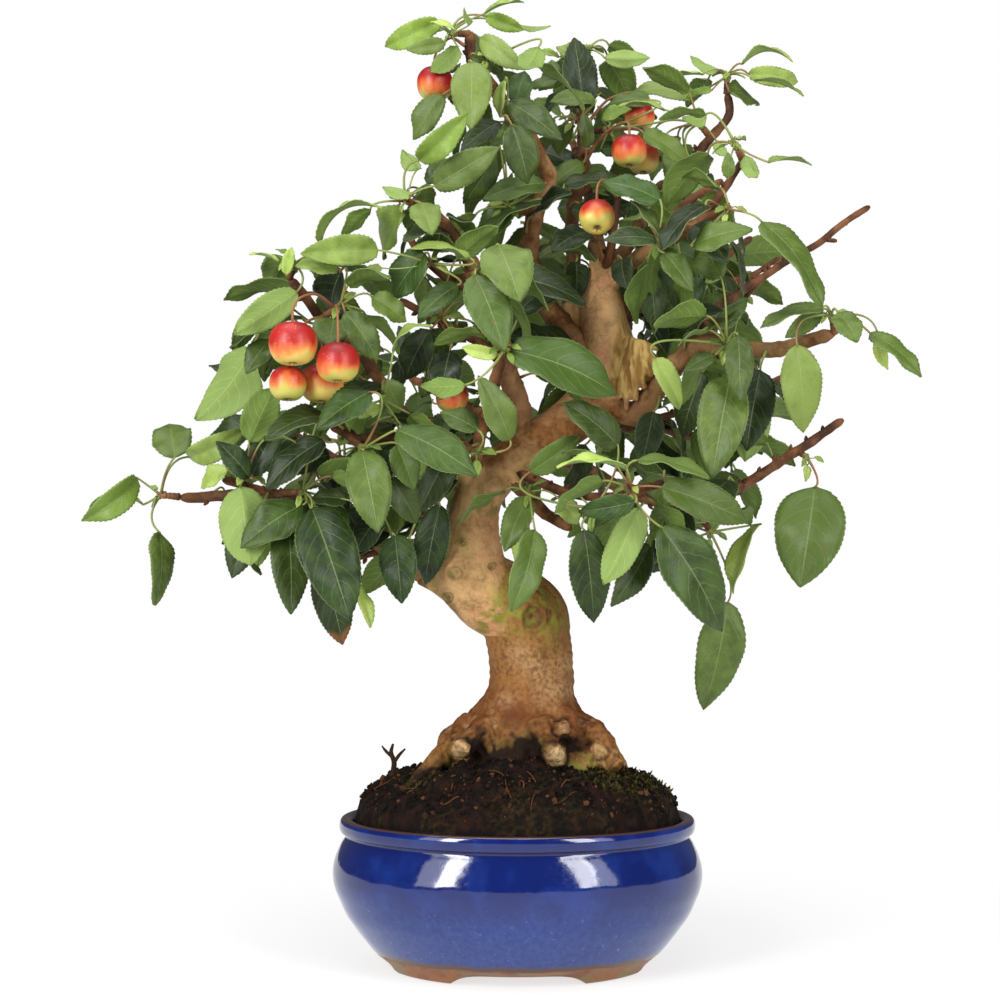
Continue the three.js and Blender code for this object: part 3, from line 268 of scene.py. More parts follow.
def profile_curve(corners: Sequence[tuple[float, float]], pitch: float) -> Array:
    """Run a smooth curve of radii and heights through the corners of a profile."""
    flat = np.array(corners, dtype=float)
    return smooth_curve(np.column_stack([flat, np.zeros(len(flat))]), pitch)[:, :2]


def ring_faces(rings: int, sides: int) -> list[Array]:
    """Join rings of points one to the next and close both ends.

    Returns:
        Corner numbers of the walls, of the first fan and of the last. The middles of the fans
        come after the points of the rings.
    """
    index = np.arange(rings * sides).reshape(rings, sides)
    wide = np.concatenate([index, index[:, :1]], axis=1)
    walls = joined(wide[:-1, :-1], wide[:-1, 1:], wide[1:, 1:], wide[1:, :-1])
    first = joined(wide[0, 1:], wide[0, :-1], rings * sides)
    last = joined(wide[-1, :-1], wide[-1, 1:], rings * sides + 1)
    return [walls.reshape(-1, 4), first, last]


def write_values(mesh: bpy.types.Mesh, values: Mapping[str, Array]) -> None:
    """Give each point of a mesh its named numbers."""
    for name, numbers in values.items():
        layer = mesh.attributes.new(name, "FLOAT", "POINT")
        layer.data.foreach_set("value", numbers.astype(np.float32))


@dataclass
class Shell:
    """A piece's closed surfaces while they are put together.

    Attributes:
        points: places in mm, from the pot's middle.
        faces: arrays of corner numbers, one row a face.
        values: named numbers at each point.
    """

    points: list[Array] = field(default_factory=list)
    faces: list[Array] = field(default_factory=list)
    values: dict[str, list[Array]] = field(default_factory=dict)
    count: int = 0

    def add(self, points: Array, faces: Sequence[Array], **values: Array | float) -> None:
        """Add a closed surface, turned to face outwards.

        Formula: the surface's signed volume is the sum of a sixth of each triangle's triple
        product, and its faces are reversed where that is below zero.

        Args:
            points: places, one row each.
            faces: arrays of corner numbers within these points.
            values: numbers for each point, or one for all.
        """
        middle = points.mean(axis=0)
        volume = 0.0
        for block in faces:
            corner = points[block] - middle
            for i in range(1, block.shape[1] - 1):
                volume += np.einsum("ij,ij->", corner[:, 0], np.cross(corner[:, i], corner[:, i + 1]))
        turn = 1 if volume >= 0 else -1
        self.faces.extend(block[:, ::turn] + self.count for block in faces)
        self.points.append(points)
        for name in {**self.values, **values}:
            row = np.broadcast_to(np.asarray(values.get(name, 0.0), dtype=float), (len(points),))
            past = self.values.setdefault(name, [np.zeros(self.count)] if self.count else [])
            past.append(row)
        self.count += len(points)

    def add_rings(self, grid: Array, **values: Array | float) -> None:
        """Add a grid of rings, joined one to the next and closed at both ends by a fan.

        Args:
            grid: rings by points round each.
            values: a number for all, or one for each point of the grid.
        """
        rings, sides = grid.shape[:2]
        points = np.concatenate([grid.reshape(-1, 3), [grid[0].mean(axis=0)], [grid[-1].mean(axis=0)]])
        spread = {}
        for name, value in values.items():
            table = np.broadcast_to(np.asarray(value, dtype=float), (rings, sides))
            spread[name] = np.concatenate([table.reshape(-1), [table[0].mean(), table[-1].mean()]])
        self.add(points, ring_faces(rings, sides), **spread)

    def add_many(self, copies: Array, faces: Sequence[Array], **values: Array | float) -> None:
        """Add many copies of a small closed form.

        Args:
            copies: the points of each copy.
            faces: arrays of corner numbers within one copy.
            values: a number for each copy, or one for all.
        """
        count, size = copies.shape[:2]
        start = np.arange(count)[:, None, None] * size
        spread = {name: np.repeat(np.broadcast_to(value, count), size) for name, value in values.items()}
        blocks = [(block + start).reshape(-1, block.shape[1]) for block in faces]
        self.add(copies.reshape(-1, 3), blocks, **spread)

    def build(self, name: str, smooth: bool = True) -> bpy.types.Object:
        """Make the Blender object, with its place in its mesh and the values as attributes.

        Args:
            name: the piece's name.
            smooth: shade across the faces' edges.

        Returns:
            The object, at the origin.
        """
        corners = np.concatenate([block.reshape(-1) for block in self.faces])
        sizes = np.concatenate([np.full(len(block), block.shape[1]) for block in self.faces])
        mesh = bpy.data.meshes.new(name)
        mesh.vertices.add(self.count)
        mesh.vertices.foreach_set("co", home(np.concatenate(self.points)).astype(np.float32).reshape(-1))
        mesh.loops.add(len(corners))
        mesh.loops.foreach_set("vertex_index", corners.astype(np.int32))
        mesh.polygons.add(len(sizes))
        starts = np.concatenate([[0], np.cumsum(sizes)[:-1]])
        mesh.polygons.foreach_set("loop_start", starts.astype(np.int32))
        mesh.polygons.foreach_set("use_smooth", np.full(len(sizes), smooth))
        mesh.update(calc_edges=True)
        write_values(mesh, {value: np.concatenate(rows) for value, rows in self.values.items()})
        piece = bpy.data.objects.new(name, mesh)
        bpy.context.scene.collection.objects.link(piece)
        return piece


def pot_middle() -> Array:
    """Return the pot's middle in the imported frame, in metres, on the floor."""
    low, high = (np.array(corner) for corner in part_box("pot"))
    return (low + high) / 2 * (1.0, 1.0, 0.0)


HOME = pot_middle()


def home(points: Array) -> Array:
    """Turn millimetres from the pot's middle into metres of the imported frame."""
    return points * METRE + HOME


def present(
    piece: bpy.types.Object, finish: bpy.types.Material, nodes: Sequence[str] = ()
) -> None:
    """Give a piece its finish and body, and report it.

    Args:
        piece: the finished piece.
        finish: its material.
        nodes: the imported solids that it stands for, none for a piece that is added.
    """
    piece.data.materials.clear()
    piece.data.materials.append(finish)
    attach(piece, BODY)
    if nodes:
        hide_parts(*nodes)
    log.info("%s: %d faces, %s", piece.name, len(piece.data.polygons), finish.name)


def settle_modifiers(piece: bpy.types.Object) -> None:
    """Turn a piece's modifiers into mesh."""
    graph = bpy.context.evaluated_depsgraph_get()
    mesh = bpy.data.meshes.new_from_object(piece.evaluated_get(graph), depsgraph=graph)
    piece.modifiers.clear()
    before = piece.data
    piece.data = mesh
    bpy.data.meshes.remove(before)


# ---- finishes
def tint(red: float, green: float, blue: float) -> Colour:
    """Turn a colour as it is seen, 0 to 255, into the light it returns, 0 to 1."""
    seen = np.array([red, green, blue]) / 255.0
    light = np.where(seen <= 0.04045, seen / 12.92, ((seen + 0.055) / 1.055) ** 2.4)
    return (*light.tolist(), 1.0)


@dataclass(frozen=True)
class Signal:
    """A number or colour on its way through a material, so that sums are written as sums."""

    paint: "Paint"
    socket: Socket

    def __add__(self, other: "Signal | float") -> "Signal":
        """Add a number."""
        return self.paint.math("ADD", self, other)

    def __sub__(self, other: "Signal | float") -> "Signal":
        """Take a number away."""
        return self.paint.math("SUBTRACT", self, other)

    def __rsub__(self, other: float) -> "Signal":
        """Take this away from a number."""
        return self.paint.math("SUBTRACT", other, self)

    def __mul__(self, other: "Signal | float") -> "Signal":
        """Multiply by a number."""
        return self.paint.math("MULTIPLY", self, other)

    def __abs__(self) -> "Signal":
        """Drop the sign."""
        return self.paint.math("ABSOLUTE", self)

    def most(self, other: "Signal") -> "Signal":
        """Take the greater of two numbers."""
        return self.paint.math("MAXIMUM", self, other)

    def band(self, low: float, high: float, start: float = 0.0, end: float = 1.0) -> "Signal":
        """Rise softly from start to end while the value goes from low to high."""
        made = self.paint.node("ShaderNodeMapRange", interpolation_type="SMOOTHSTEP")
        return self.paint.wire(made, made.outputs["Result"], {
            "Value": self, "From Min": low, "From Max": high, "To Min": start, "To Max": end})

    def coat(self, part: "Signal | float", colour: "Signal | Colour") -> "Signal":
        """Lay another colour over this one, as thick as the part says."""
        return self.paint.mix(part, self, colour)


class Paint:
    """A material under construction, with a short call for each kind of node."""

    def __init__(self, name: str) -> None:
        """Start a material with one Principled shader."""
        self.material = bpy.data.materials.new(name)
        self.material.use_nodes = True
        self.tree = self.material.node_tree
        self.shader = next(node for node in self.tree.nodes if node.type == "BSDF_PRINCIPLED")

    def node(self, kind: str, **settings: object) -> bpy.types.Node:
        """Add a node and set its properties."""
        made = self.tree.nodes.new(kind)
        for name, value in settings.items():
            setattr(made, name, value)
        return made

    def feed(self, socket: Socket, value: Signal | Socket | float | Colour) -> None:
        """Link a socket to another, or set its value."""
        value = value.socket if isinstance(value, Signal) else value
        if isinstance(value, bpy.types.NodeSocket):
            self.tree.links.new(value, socket)
        else:
            socket.default_value = value

    def wire(self, node: bpy.types.Node, output: Socket, values: Mapping[str | int, object]) -> Signal:
        """Feed a node's inputs.

        Args:
            node: the node.
            output: the output to go on with.
            values: a signal, socket or value for each input, by its name or number.

        Returns:
            The output as a signal.
        """
        for name, value in values.items():
            self.feed(node.inputs[name], value)
        return Signal(self, output)

    def attribute(self, name: str) -> Signal:
        """Read a number that the piece has at each point."""
        return Signal(self, self.node("ShaderNodeAttribute", attribute_name=name).outputs["Fac"])

    def place(self, rise: float = 1.0) -> Signal:
        """Read the place on the object, with its height scaled."""
        made = self.node("ShaderNodeMapping")
        source = self.node("ShaderNodeTexCoord").outputs["Object"]
        return self.wire(made, made.outputs["Vector"], {"Scale": (1.0, 1.0, rise), "Vector": source})

    def height(self) -> Signal:
        """Read the height above the floor, in metres."""
        made = self.node("ShaderNodeSeparateXYZ")
        return self.wire(made, made.outputs["Z"], {0: self.place()})

    def noise(self, scale: float, detail: float = 4.0, rise: float = 1.0) -> Signal:
        """Add noise.

        Args:
            scale: swells to the metre.
            detail: layers of finer noise.
            rise: scales the height, so that a small one draws the swells out upwards.

        Returns:
            The noise, from 0 to 1.
        """
        made = self.node("ShaderNodeTexNoise")
        inputs = {"Vector": self.place(rise), "Scale": scale, "Detail": detail}
        return self.wire(made, made.outputs["Fac"], inputs)

    def cells(self, scale: float) -> Signal:
        """Add the distance to the nearest of scattered points."""
        made = self.node("ShaderNodeTexVoronoi")
        return self.wire(made, made.outputs["Distance"], {"Vector": self.place(), "Scale": scale})

    def math(self, operation: str, first: Signal | float, second: Signal | float = 0.0) -> Signal:
        """Combine two numbers by an operation of the Math node."""
        made = self.node("ShaderNodeMath", operation=operation)
        return self.wire(made, made.outputs[0], {0: first, 1: second})

    def mix(self, part: Signal | float, first: Signal | Colour, second: Signal | Colour) -> Signal:
        """Blend from the first colour to the second."""
        made = self.node("ShaderNodeMix", data_type="RGBA")
        return self.wire(made, made.outputs[2], {0: part, 6: first, 7: second})

    def bump(self, height: Signal, depth: float, strength: float = 1.0) -> None:
        """Shade the surface as if raised by the height times a depth in metres."""
        made = self.node("ShaderNodeBump")
        self.wire(made, made.outputs["Normal"], {"Strength": strength, "Distance": depth, "Height": height})
        before = self.shader.inputs["Normal"]
        if before.is_linked:
            self.feed(made.inputs["Normal"], before.links[0].from_socket)
        self.feed(before, made.outputs["Normal"])

    def done(self, colour: Signal | Colour, roughness: Signal | float, **fixed: float) -> bpy.types.Material:
        """Finish the material.

        Args:
            colour: the base colour.
            roughness: the roughness.
            fixed: numbers for other sockets of the shader, with _ for each space.

        Returns:
            The material.
        """
        self.feed(self.shader.inputs["Base Color"], colour)
        self.feed(self.shader.inputs["Roughness"], roughness)
        for name, number in fixed.items():
            self.shader.inputs[name.replace("_", " ")].default_value = number
        return self.material


@dataclass(frozen=True)
class Glaze:
    """Deep blue glaze that pools dark, thins to brown at the edges and ends above bare clay."""

    deep: Colour = tint(4, 22, 84)
    middle: Colour = tint(14, 40, 108)
    light: Colour = tint(30, 58, 124)
    fleck: Colour = tint(90, 118, 172)
    edge: Colour = tint(70, 44, 28)
    clay: Colour = tint(128, 80, 40)
    clay_burnt: Colour = tint(108, 54, 26)
    clay_olive: Colour = tint(112, 98, 54)
    clay_grain: Colour = tint(84, 50, 32)
    end: float = 0.0098  # height of the glaze's lower edge, in metres

    def material(self) -> bpy.types.Material:
        """Build the material from the height on the pot and layers of noise."""
        paint = Paint("blue_glaze")
        height = paint.height()
        cloud = paint.noise(34.0, 3.0)
        mottle = paint.noise(330.0, 5.0)
        # Painted reflection: below about 50 mm the belly is painted a lighter, mottled blue for the pale
        # floor that it reflects, and more flecks gather there.
        belly = (height + paint.noise(60.0, 4.0, 0.35) * 0.016).band(0.036, 0.064, 1.0, 0.0)
        light = paint.mix(mottle.band(0.32, 0.72), self.middle, self.light)
        flecks = paint.noise(420.0, 2.0).band(0.66, 0.74) * (belly * 0.4 + 0.02)
        thin = (paint.attribute("thin") + mottle * 0.3).band(0.55, 0.95)
        level = height - paint.noise(45.0, 3.0) * 0.0042
        run = level.band(self.end - 0.0012, self.end + 0.0022, 1.0, 0.0)
        colour = paint.mix(cloud.band(0.42, 0.66), self.deep, self.middle).coat(belly * 0.85, light)
        colour = colour.coat(flecks, self.fleck).coat(thin, self.edge).coat(run, self.edge)
        grain = paint.noise(900.0, 2.0)
        clay = paint.mix(paint.noise(70.0, 4.0).band(0.45, 0.7), self.clay, self.clay_burnt)
        clay = clay.coat(paint.noise(48.0, 3.0).band(0.48, 0.6, 0.0, 0.75), self.clay_olive)
        clay = clay.coat(grain.band(0.6, 0.75, 0.0, 0.4), self.clay_grain)
        bare = level.band(self.end - 0.0028, self.end - 0.0016, 1.0, 0.0).most(paint.attribute("inside"))
        paint.bump(cloud, 0.0011, 0.35)
        paint.bump(mottle, 0.0001, 0.3)
        paint.bump(bare * grain, 0.0005, 0.9)
        rough = bare * 0.72 + mottle.band(0.3, 0.8, 0.06, 0.16)
        return paint.done(
            colour.coat(bare, clay), rough, Specular_IOR_Level=0.55, Coat_Weight=0.35, Coat_Roughness=0.05)


@dataclass
class Pot:
    """The oval pot: lip, neck, belly and four feet between arches, turned in one piece."""

    flatten: float = 0.8
    sides: int = 216
    foot_height: float = 9.0
    floor_under: float = 6.0
    front_arch_half: float = 37.0
    side_arch_half: float = 24.0
    arch_height: float = 5.5
    drain_radius: float = 6.0
    drain_place: float = 34.0
    lip_edge: float = 84.9  # height of the lip's thin edge
    neck: float = 76.2  # height of the groove under the lip
    under: tuple[tuple[float, float], ...] = (
        (0.5, 6), (20, 6), (40, 6), (54, 6), (57, 5), (58.4, 2), (60, 0.4), (62, 0), (67, 0),
    )
    outside: tuple[tuple[float, float], ...] = (
        (71, 0), (74.6, 1.2), (76.6, 4), (81.5, 9), (87.4, 16), (93.5, 24), (98.6, 31.5), (102, 39),
        (104.6, 46), (105.5, 53), (105.1, 58), (103.8, 63), (102.2, 67), (100.2, 71), (98.2, 74),
        (97.2, 75.6),
    )
    lip: tuple[tuple[float, float], ...] = (
        (97.2, 75.6), (98.6, 76.3), (100.6, 77.1), (101.3, 78.8), (101.5, 81.2), (101.1, 83.4), (99.9, 84.9),
        (98.2, 85.3), (96, 85.0), (94.4, 83.9),
    )
    inside: tuple[tuple[float, float], ...] = (
        (94.4, 83.9), (92.7, 76), (96.4, 68), (98.3, 58), (95.2, 39), (86, 22), (76, 14),
    )
    floor: tuple[tuple[float, float], ...] = ((60.0, 14.0), (30.0, 14.0), (0.5, 14.0))

    def profile(self) -> tuple[Array, Array]:
        """Join the profiles from the foot over the lip to the floor.

        Returns:
            The radii and heights, and for each a number: 0 outside, 1 on the lip, 2 inside.
        """
        lip, inside = profile_curve(self.lip, 0.7)[1:], profile_curve(self.inside, 4.0)[1:]
        rows = (np.array(self.under), profile_curve(self.outside, 1.7), lip, inside, np.array(self.floor))
        zone = np.repeat((0, 0, 1, 2, 2), [len(part) for part in rows])
        return np.concatenate(rows), zone

    def arches(self, grid: Array) -> Array:
        """Raise the foot between its four pads.

        Formula: near the middle of each side the arch is its height times one less the sixth
        power of the offset over the half opening, and what is lower than the glaze is pressed
        into the space above the arch.
        """
        x, y, z = np.moveaxis(grid, -1, 0)
        front = np.where(np.abs(y) > 0.42 * np.abs(x), 1 - np.abs(x / self.front_arch_half) ** 6, 0)
        sideways = np.where(np.abs(x) > 1.1 * np.abs(y), 1 - np.abs(y / self.side_arch_half) ** 6, 0)
        arch = self.arch_height * np.clip(np.maximum(front, sideways), 0, 1)
        top = np.where(np.hypot(x, y / self.flatten) < 58, self.floor_under, self.foot_height)
        return joined(x, y, np.where(z < top, arch + z * (top - arch) / top, z))

    def body(self) -> bpy.types.Object:
        """Turn the pot and let in the small unevenness of a thrown wall."""
        profile, zone = self.profile()
        grid = self.arches(turned(profile, self.sides, self.flatten))
        uneven = 0.35 * lattice_noise(grid, 34.0, 3) + 0.1 * lattice_noise(grid, 9.0, 4)
        held = np.where((zone[:, None] < 2) & (grid[..., 2] > self.foot_height), uneven, 0.0)
        away = np.maximum(np.hypot(grid[..., 0], grid[..., 1]), 1)
        grid = grid + held[..., None] * (grid * (1.0, 1.0, 0.0)) / away[..., None]
        height = profile[:, 1]
        lip = bell(height - self.lip_edge, 0.55) * (zone == 1)
        edges = np.maximum(lip, bell(height - self.neck, 0.5) * (zone < 2))
        shell = Shell()
        shell.add_rings(grid, thin=edges[:, None], inside=(zone == 2)[:, None])
        return shell.build("glazed_pot")

    def build(self) -> None:
        """Make the pot, cut its two drain holes with round bars and dress it."""
        pot = self.body()
        bar_ends = np.array([(self.drain_radius, -2.0), (self.drain_radius, 22.0)])
        for side in (-1, 1):
            shell = Shell()
            shell.add_rings(turned(bar_ends, 32) + (side * self.drain_place, 0.0, 0.0))
            bar = shell.build("drain_bar")
            cut = pot.modifiers.new("drain", "BOOLEAN")
            cut.operation, cut.object, cut.solver = "DIFFERENCE", bar, "EXACT"
            settle_modifiers(pot)
            bpy.data.objects.remove(bar)
        present(pot, Glaze().material(), ["pot"])


@dataclass(frozen=True)
class Earth:
    """Dark, open potting soil with brown grains."""

    dark: Colour = tint(12, 7, 5)
    middle: Colour = tint(34, 17, 10)
    grain: Colour = tint(92, 60, 38)
    moss: Colour = tint(62, 60, 20)

    def material(self) -> bpy.types.Material:
        """Build the material from noise, with a number for each grain."""
        paint = Paint("potting_soil")
        colour = paint.mix(paint.noise(160.0, 5.0).band(0.4, 0.7), self.dark, self.middle)
        colour = colour.coat(paint.attribute("seed").band(0.72, 1.0, 0.0, 0.8), self.grain)
        colour = colour.coat(paint.attribute("moss") * paint.noise(320.0, 4.0).band(0.42, 0.66), self.moss)
        paint.bump(paint.noise(700.0, 6.0), 0.0009, 0.9)
        return paint.done(colour, 0.94, Specular_IOR_Level=0.15)


@dataclass
class Soil:
    """The lumpy mound in the pot, with loose crumbs, moss, straws and a dead sprout."""

    mound: tuple[tuple[float, float], ...] = (
        (0.8, 115), (26, 114), (50, 113), (72, 108), (84, 101), (90, 94), (92, 88), (93.4, 80),
    )
    wall: tuple[tuple[float, float], ...] = (
        (75, 14.4), (85.3, 22.4), (94.6, 39), (97.6, 58), (93.6, 70), (92, 78),
    )
    mossy: tuple[tuple[float, float, float], ...] = (
        (66, -14, 16), (52, -34, 12), (80, 6, 12), (-52, -30, 9), (10, 40, 22), (-30, 34, 16),
    )
    flatten: float = 0.8
    lump: float = 1.6
    sides: int = 260
    crumbs: int = 4200
    straws: int = 46
    moss_tufts: int = 900
    sprout: tuple[tuple[tuple[float, float, float, float], ...], ...] = (
        ((392, 776, -34, 1.6), (394, 762, -34, 1.5), (391, 752, -35, 1.2), (393, 744, -36, 0.7)),
        ((393, 764, -34, 1.1), (400, 754, -38, 0.9), (405, 749, -40, 0.5)),
        ((392, 757, -35, 0.9), (385, 750, -32, 0.8), (382, 746, -30, 0.4)),
    )

    def top(self, x: Array, y: Array) -> Array:
        """Return the height of the ground.

        Formula: the mound's profile at the oval distance from the middle, plus waves as on the
        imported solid, noise and a heap before the trunk, which all fade out at the rim.
        """
        reach = np.hypot(x, y / self.flatten)
        radii, heights = np.array(self.mound).T
        lumps = self.lump * (np.sin(0.13 * x + 1) * np.cos(0.17 * y) + 0.7 * np.sin(0.31 * x + 0.23 * y))
        fine = 1.9 * rough_noise(joined(x, y, 0.0), 11.0, 21, 4)
        heap = 7.5 * np.exp(-(((x + 4) / 34) ** 2) - ((y + 34) / 15) ** 2)
        return np.interp(reach, radii, heights) + soft_step(reach, 93.0, 86.0) * (lumps + fine + heap)

    def moss_share(self, x: Array, y: Array) -> Array:
        """Say how mossy the ground is, from patches by the roots."""
        patches = sum(bell(np.hypot(x - a, y - b), reach) for a, b, reach in self.mossy)
        return np.clip(patches + 0.35 * lattice_noise(joined(x, y, 0.0), 13.0, 31), 0, 1)

    def ground(self) -> bpy.types.Object:
        """Make the mound on rings, closed down the wall and across the floor.

        Formula: each ring is an oval whose radius falls from the wall to the middle, and its
        height is the ground's height there.
        """
        angle = ring_angles(self.sides)
        radius = np.concatenate([np.linspace(93.2, 84, 10), np.linspace(83, 0.8, 62)])[:, None]
        x, y = radius * np.cos(angle), self.flatten * radius * np.sin(angle)
        wall = turned(np.array(self.wall), self.sides, self.flatten)
        moss = np.concatenate([np.zeros((len(wall), self.sides)), self.moss_share(x, y)])
        shell = Shell()
        shell.add_rings(np.concatenate([wall, joined(x, y, self.top(x, y))]), seed=0.0, moss=moss)
        return shell.build("soil_mound")

    def scatter(self, count: int, seed: int, least: float, most: float) -> tuple[Array, Array]:
        """Spread places evenly by chance over the ground.

        Args:
            count: how many.
            seed: starts the chance.
            least: the least oval distance from the middle.
            most: the greatest.

        Returns:
            The places' x and y.
        """
        chance = np.random.default_rng(seed)
        reach = np.sqrt(chance.uniform(least**2, most**2, count))
        angle = chance.uniform(0, TAU, count)
        return reach * np.cos(angle), self.flatten * reach * np.sin(angle)

    def grains(self) -> bpy.types.Object:
        """Strew crumbs over the mound.

        Formula: each crumb is a six-sided stone of three rings, scaled, turned and pushed
        about by chance.
        """
        chance = np.random.default_rng(7)
        x, y = self.scatter(self.crumbs, 8, 8.0, 91.0)
        size = chance.gamma(2.2, 0.36, self.crumbs).clip(0.35, 2.6)
        stone = turned(np.array([(0.55, -0.6), (1.0, -0.1), (0.75, 0.6)]), 6).reshape(-1, 3)
        stone = np.concatenate([stone, [[0, 0, -0.75], [0, 0, 0.8]]])
        shape = stone * chance.uniform(0.6, 1.25, (self.crumbs, 1, 3))
        shape = shape * chance.uniform(0.75, 1.2, (self.crumbs, len(stone), 1))
        spin = np.linalg.qr(chance.normal(size=(self.crumbs, 3, 3)))[0]
        spin *= np.sign(np.linalg.det(spin))[:, None, None]
        points = np.einsum("nij,nkj->nki", spin, shape) * size[:, None, None]
        points += joined(x, y, self.top(x, y) + 0.25 * size)[:, None]
        tones = chance.uniform(0, 1, self.crumbs)
        shell = Shell()
        shell.add_many(points, ring_faces(3, 6), seed=tones, moss=self.moss_share(x, y) * 0.8)
        return shell.build("soil_crumbs", smooth=False)

    def moss(self) -> bpy.types.Object:
        """Grow short moss shoots where the ground is mossy.

        Formula: each shoot is a four-sided spike, its tip leaning by chance.
        """
        chance = np.random.default_rng(11)
        x, y = self.scatter(self.moss_tufts * 5, 12, 10.0, 88.0)
        keep = np.argsort(-self.moss_share(x, y) - chance.uniform(0, 0.35, len(x)))[: self.moss_tufts]
        x, y = x[keep], y[keep]
        tall = chance.uniform(1.6, 3.6, self.moss_tufts)
        lean = chance.normal(0, 0.5, (self.moss_tufts, 2))
        angle = ring_angles(4) + 0.3
        foot = joined(0.5 * np.cos(angle), 0.5 * np.sin(angle), -0.4)
        middle = joined(0.55 * np.cos(angle + 0.6), 0.55 * np.sin(angle + 0.6), 0.5)
        points = np.concatenate([foot, middle, [[0, 0, 1.0]]]) * joined(tall * 0.5, tall * 0.5, tall)[:, None]
        points = points + points[..., 2:] * joined(*lean.T, 0.0)[:, None]
        points += joined(x, y, self.top(x, y))[:, None]
        walls, _, tips = ring_faces(2, 4)
        faces = [walls, tips - (0, 0, 1), np.array([[3, 2, 1, 0]])]
        shell = Shell()
        shell.add_many(points, faces, seed=chance.uniform(0, 0.4, self.moss_tufts), moss=1.0)
        return shell.build("soil_moss", smooth=False)

    def litter(self) -> bpy.types.Object:
        """Lay straws on the ground and set up the dead sprout by the left root.

        Formula: each straw is a thin tube along a shallow bow with chance ends.
        """
        chance = np.random.default_rng(15)
        shell = Shell()
        part = np.linspace(-0.5, 0.5, 7)
        for x, y in zip(*self.scatter(self.straws, 16, 30.0, 88.0)):
            length, turn = chance.uniform(5, 17), chance.uniform(0, TAU)
            across = x + length * part * math.cos(turn) + 3.0 * part**2 * chance.normal()
            back = y + length * part * math.sin(turn)
            rise = self.top(across, back) + 0.8 + chance.uniform(0, 1.4) * (0.25 - part**2) * 4
            grid = sweep(joined(across, back, rise), np.full(7, chance.uniform(0.22, 0.5)), 5)
            shell.add_rings(grid, seed=chance.uniform(0.85, 1.0))
        for knots in self.sprout:
            shell.add_rings(tube(listed(knots), 1.0, 7), seed=0.8)
        return shell.build("soil_litter")

    def build(self) -> None:
        """Make the soil's pieces and dress them."""
        earth = Earth().material()
        present(self.ground(), earth, ["soil"])
        for piece in (self.grains(), self.moss(), self.litter()):
            present(piece, earth)


@dataclass(frozen=True)
class Bark:
    """Tan bark over red-brown, with moss, pale knobs and dry bare wood, and painted shade in its hollows and
    fissures.
    """

    tan: Colour = tint(200, 158, 106)
    tan_shade: Colour = tint(150, 112, 68)
    rosy: Colour = tint(190, 134, 96)
    brown: Colour = tint(140, 97, 52)
    brown_shade: Colour = tint(100, 64, 32)
    twig: Colour = tint(116, 74, 48)
    twig_shade: Colour = tint(62, 37, 26)
    red: Colour = tint(98, 50, 22)
    olive: Colour = tint(146, 132, 66)
    moss: Colour = tint(126, 122, 46)
    pale: Colour = tint(200, 170, 124)
    dark: Colour = tint(30, 17, 9)
    dry: Colour = tint(188, 158, 94)
    dry_shade: Colour = tint(142, 104, 54)

    def material(self) -> bpy.types.Material:
        """Build the material from the named numbers on the wood and layers of noise."""
        paint = Paint("living_bark")
        patch = paint.noise(85.0, 5.0)
        fine = paint.noise(420.0, 5.0)
        strands = paint.noise(260.0, 4.0, 0.22)
        young, dark = paint.attribute("young"), paint.attribute("dark")
        old = 1.0 - young
        tan = paint.mix(paint.noise(38.0, 3.0).band(0.4, 0.62), self.tan, self.rosy)
        tan = tan.coat(paint.noise(24.0, 4.0).band(0.5, 0.62, 0.0, 0.6), self.olive)
        tan = tan.coat(patch.band(0.44, 0.66, 0.0, 0.85), self.tan_shade)
        tan = tan.coat(fine.band(0.42, 0.62, 0.0, 0.32), self.pale)
        brown = paint.mix((strands * 0.45 + fine * 0.55).band(0.34, 0.6), self.brown_shade, self.brown)
        dry = paint.mix(strands.band(0.38, 0.62), self.dry_shade, self.dry)
        twig = paint.mix(patch.band(0.36, 0.66), self.twig_shade, self.twig)
        twig = twig.coat(paint.cells(620.0).band(0.08, 0.2, 0.5, 0.0), self.tan_shade)
        upper = paint.attribute("tan") + patch.band(0.3, 0.7, -0.25, 0.25)
        colour = paint.mix(upper.band(0.3, 0.7), brown, tan)
        colour = colour.coat(paint.attribute("red") * patch.band(0.36, 0.6, 0.45, 1.0), self.red)
        colour = colour.coat(paint.attribute("dry"), dry)
        colour = colour.coat(paint.attribute("pale") * fine.band(0.35, 0.6, 0.3, 1.0), self.pale)
        colour = colour.coat(paint.attribute("moss") * paint.noise(170.0, 5.0).band(0.38, 0.62), self.moss)
        colour = colour.coat(young, twig)
        specks = paint.cells(420.0).band(0.08, 0.2, 1.0, 0.0)
        specks = specks * paint.noise(90.0, 2.0).band(0.46, 0.6, 0.0, 0.66)
        cracks = abs(paint.noise(62.0, 5.0) - 0.5).band(0.002, 0.016, 0.26, 0.0)
        cracks = cracks * paint.noise(30.0, 2.0).band(0.46, 0.6) * old
        # dark carries the bark's own specks, cracks and scars, and also painted shade from the trunk's
        # hollows, fissures, foot and the bough under the lobe.
        dark = dark.most((specks * old).most(cracks))
        paint.bump((strands - cracks) * old, 0.001, 0.5)
        paint.bump(patch + fine, 0.0008, 0.6)
        rough = fine.band(0.3, 0.8, 0.62, 0.84) + dark * 0.16
        return paint.done(colour.coat(dark, self.dark), rough, Specular_IOR_Level=0.16)


# The lower trunk: row, left column, right column, depth of the middle, half depth.
LOWER_TRUNK = (
    (800, 452, 598, 0, 34), (792, 450, 600, 0, 34), (778, 444, 608, 0, 36), (764, 439, 611, 0, 37),
    (747, 444, 604, 0, 35), (731, 456, 595, 0, 32), (715, 468, 584, 0, 28), (695, 483, 574, 0, 25),
    (675, 490, 574, 1, 23.5), (658, 489, 573, 1, 24), (640, 486, 571, 1, 25), (624, 484, 568, 0, 25.5),
    (608, 486, 562, -1, 25), (594, 490, 553, -2, 23), (582, 497, 541, -2, 19), (573, 506, 530, -2, 13),
)
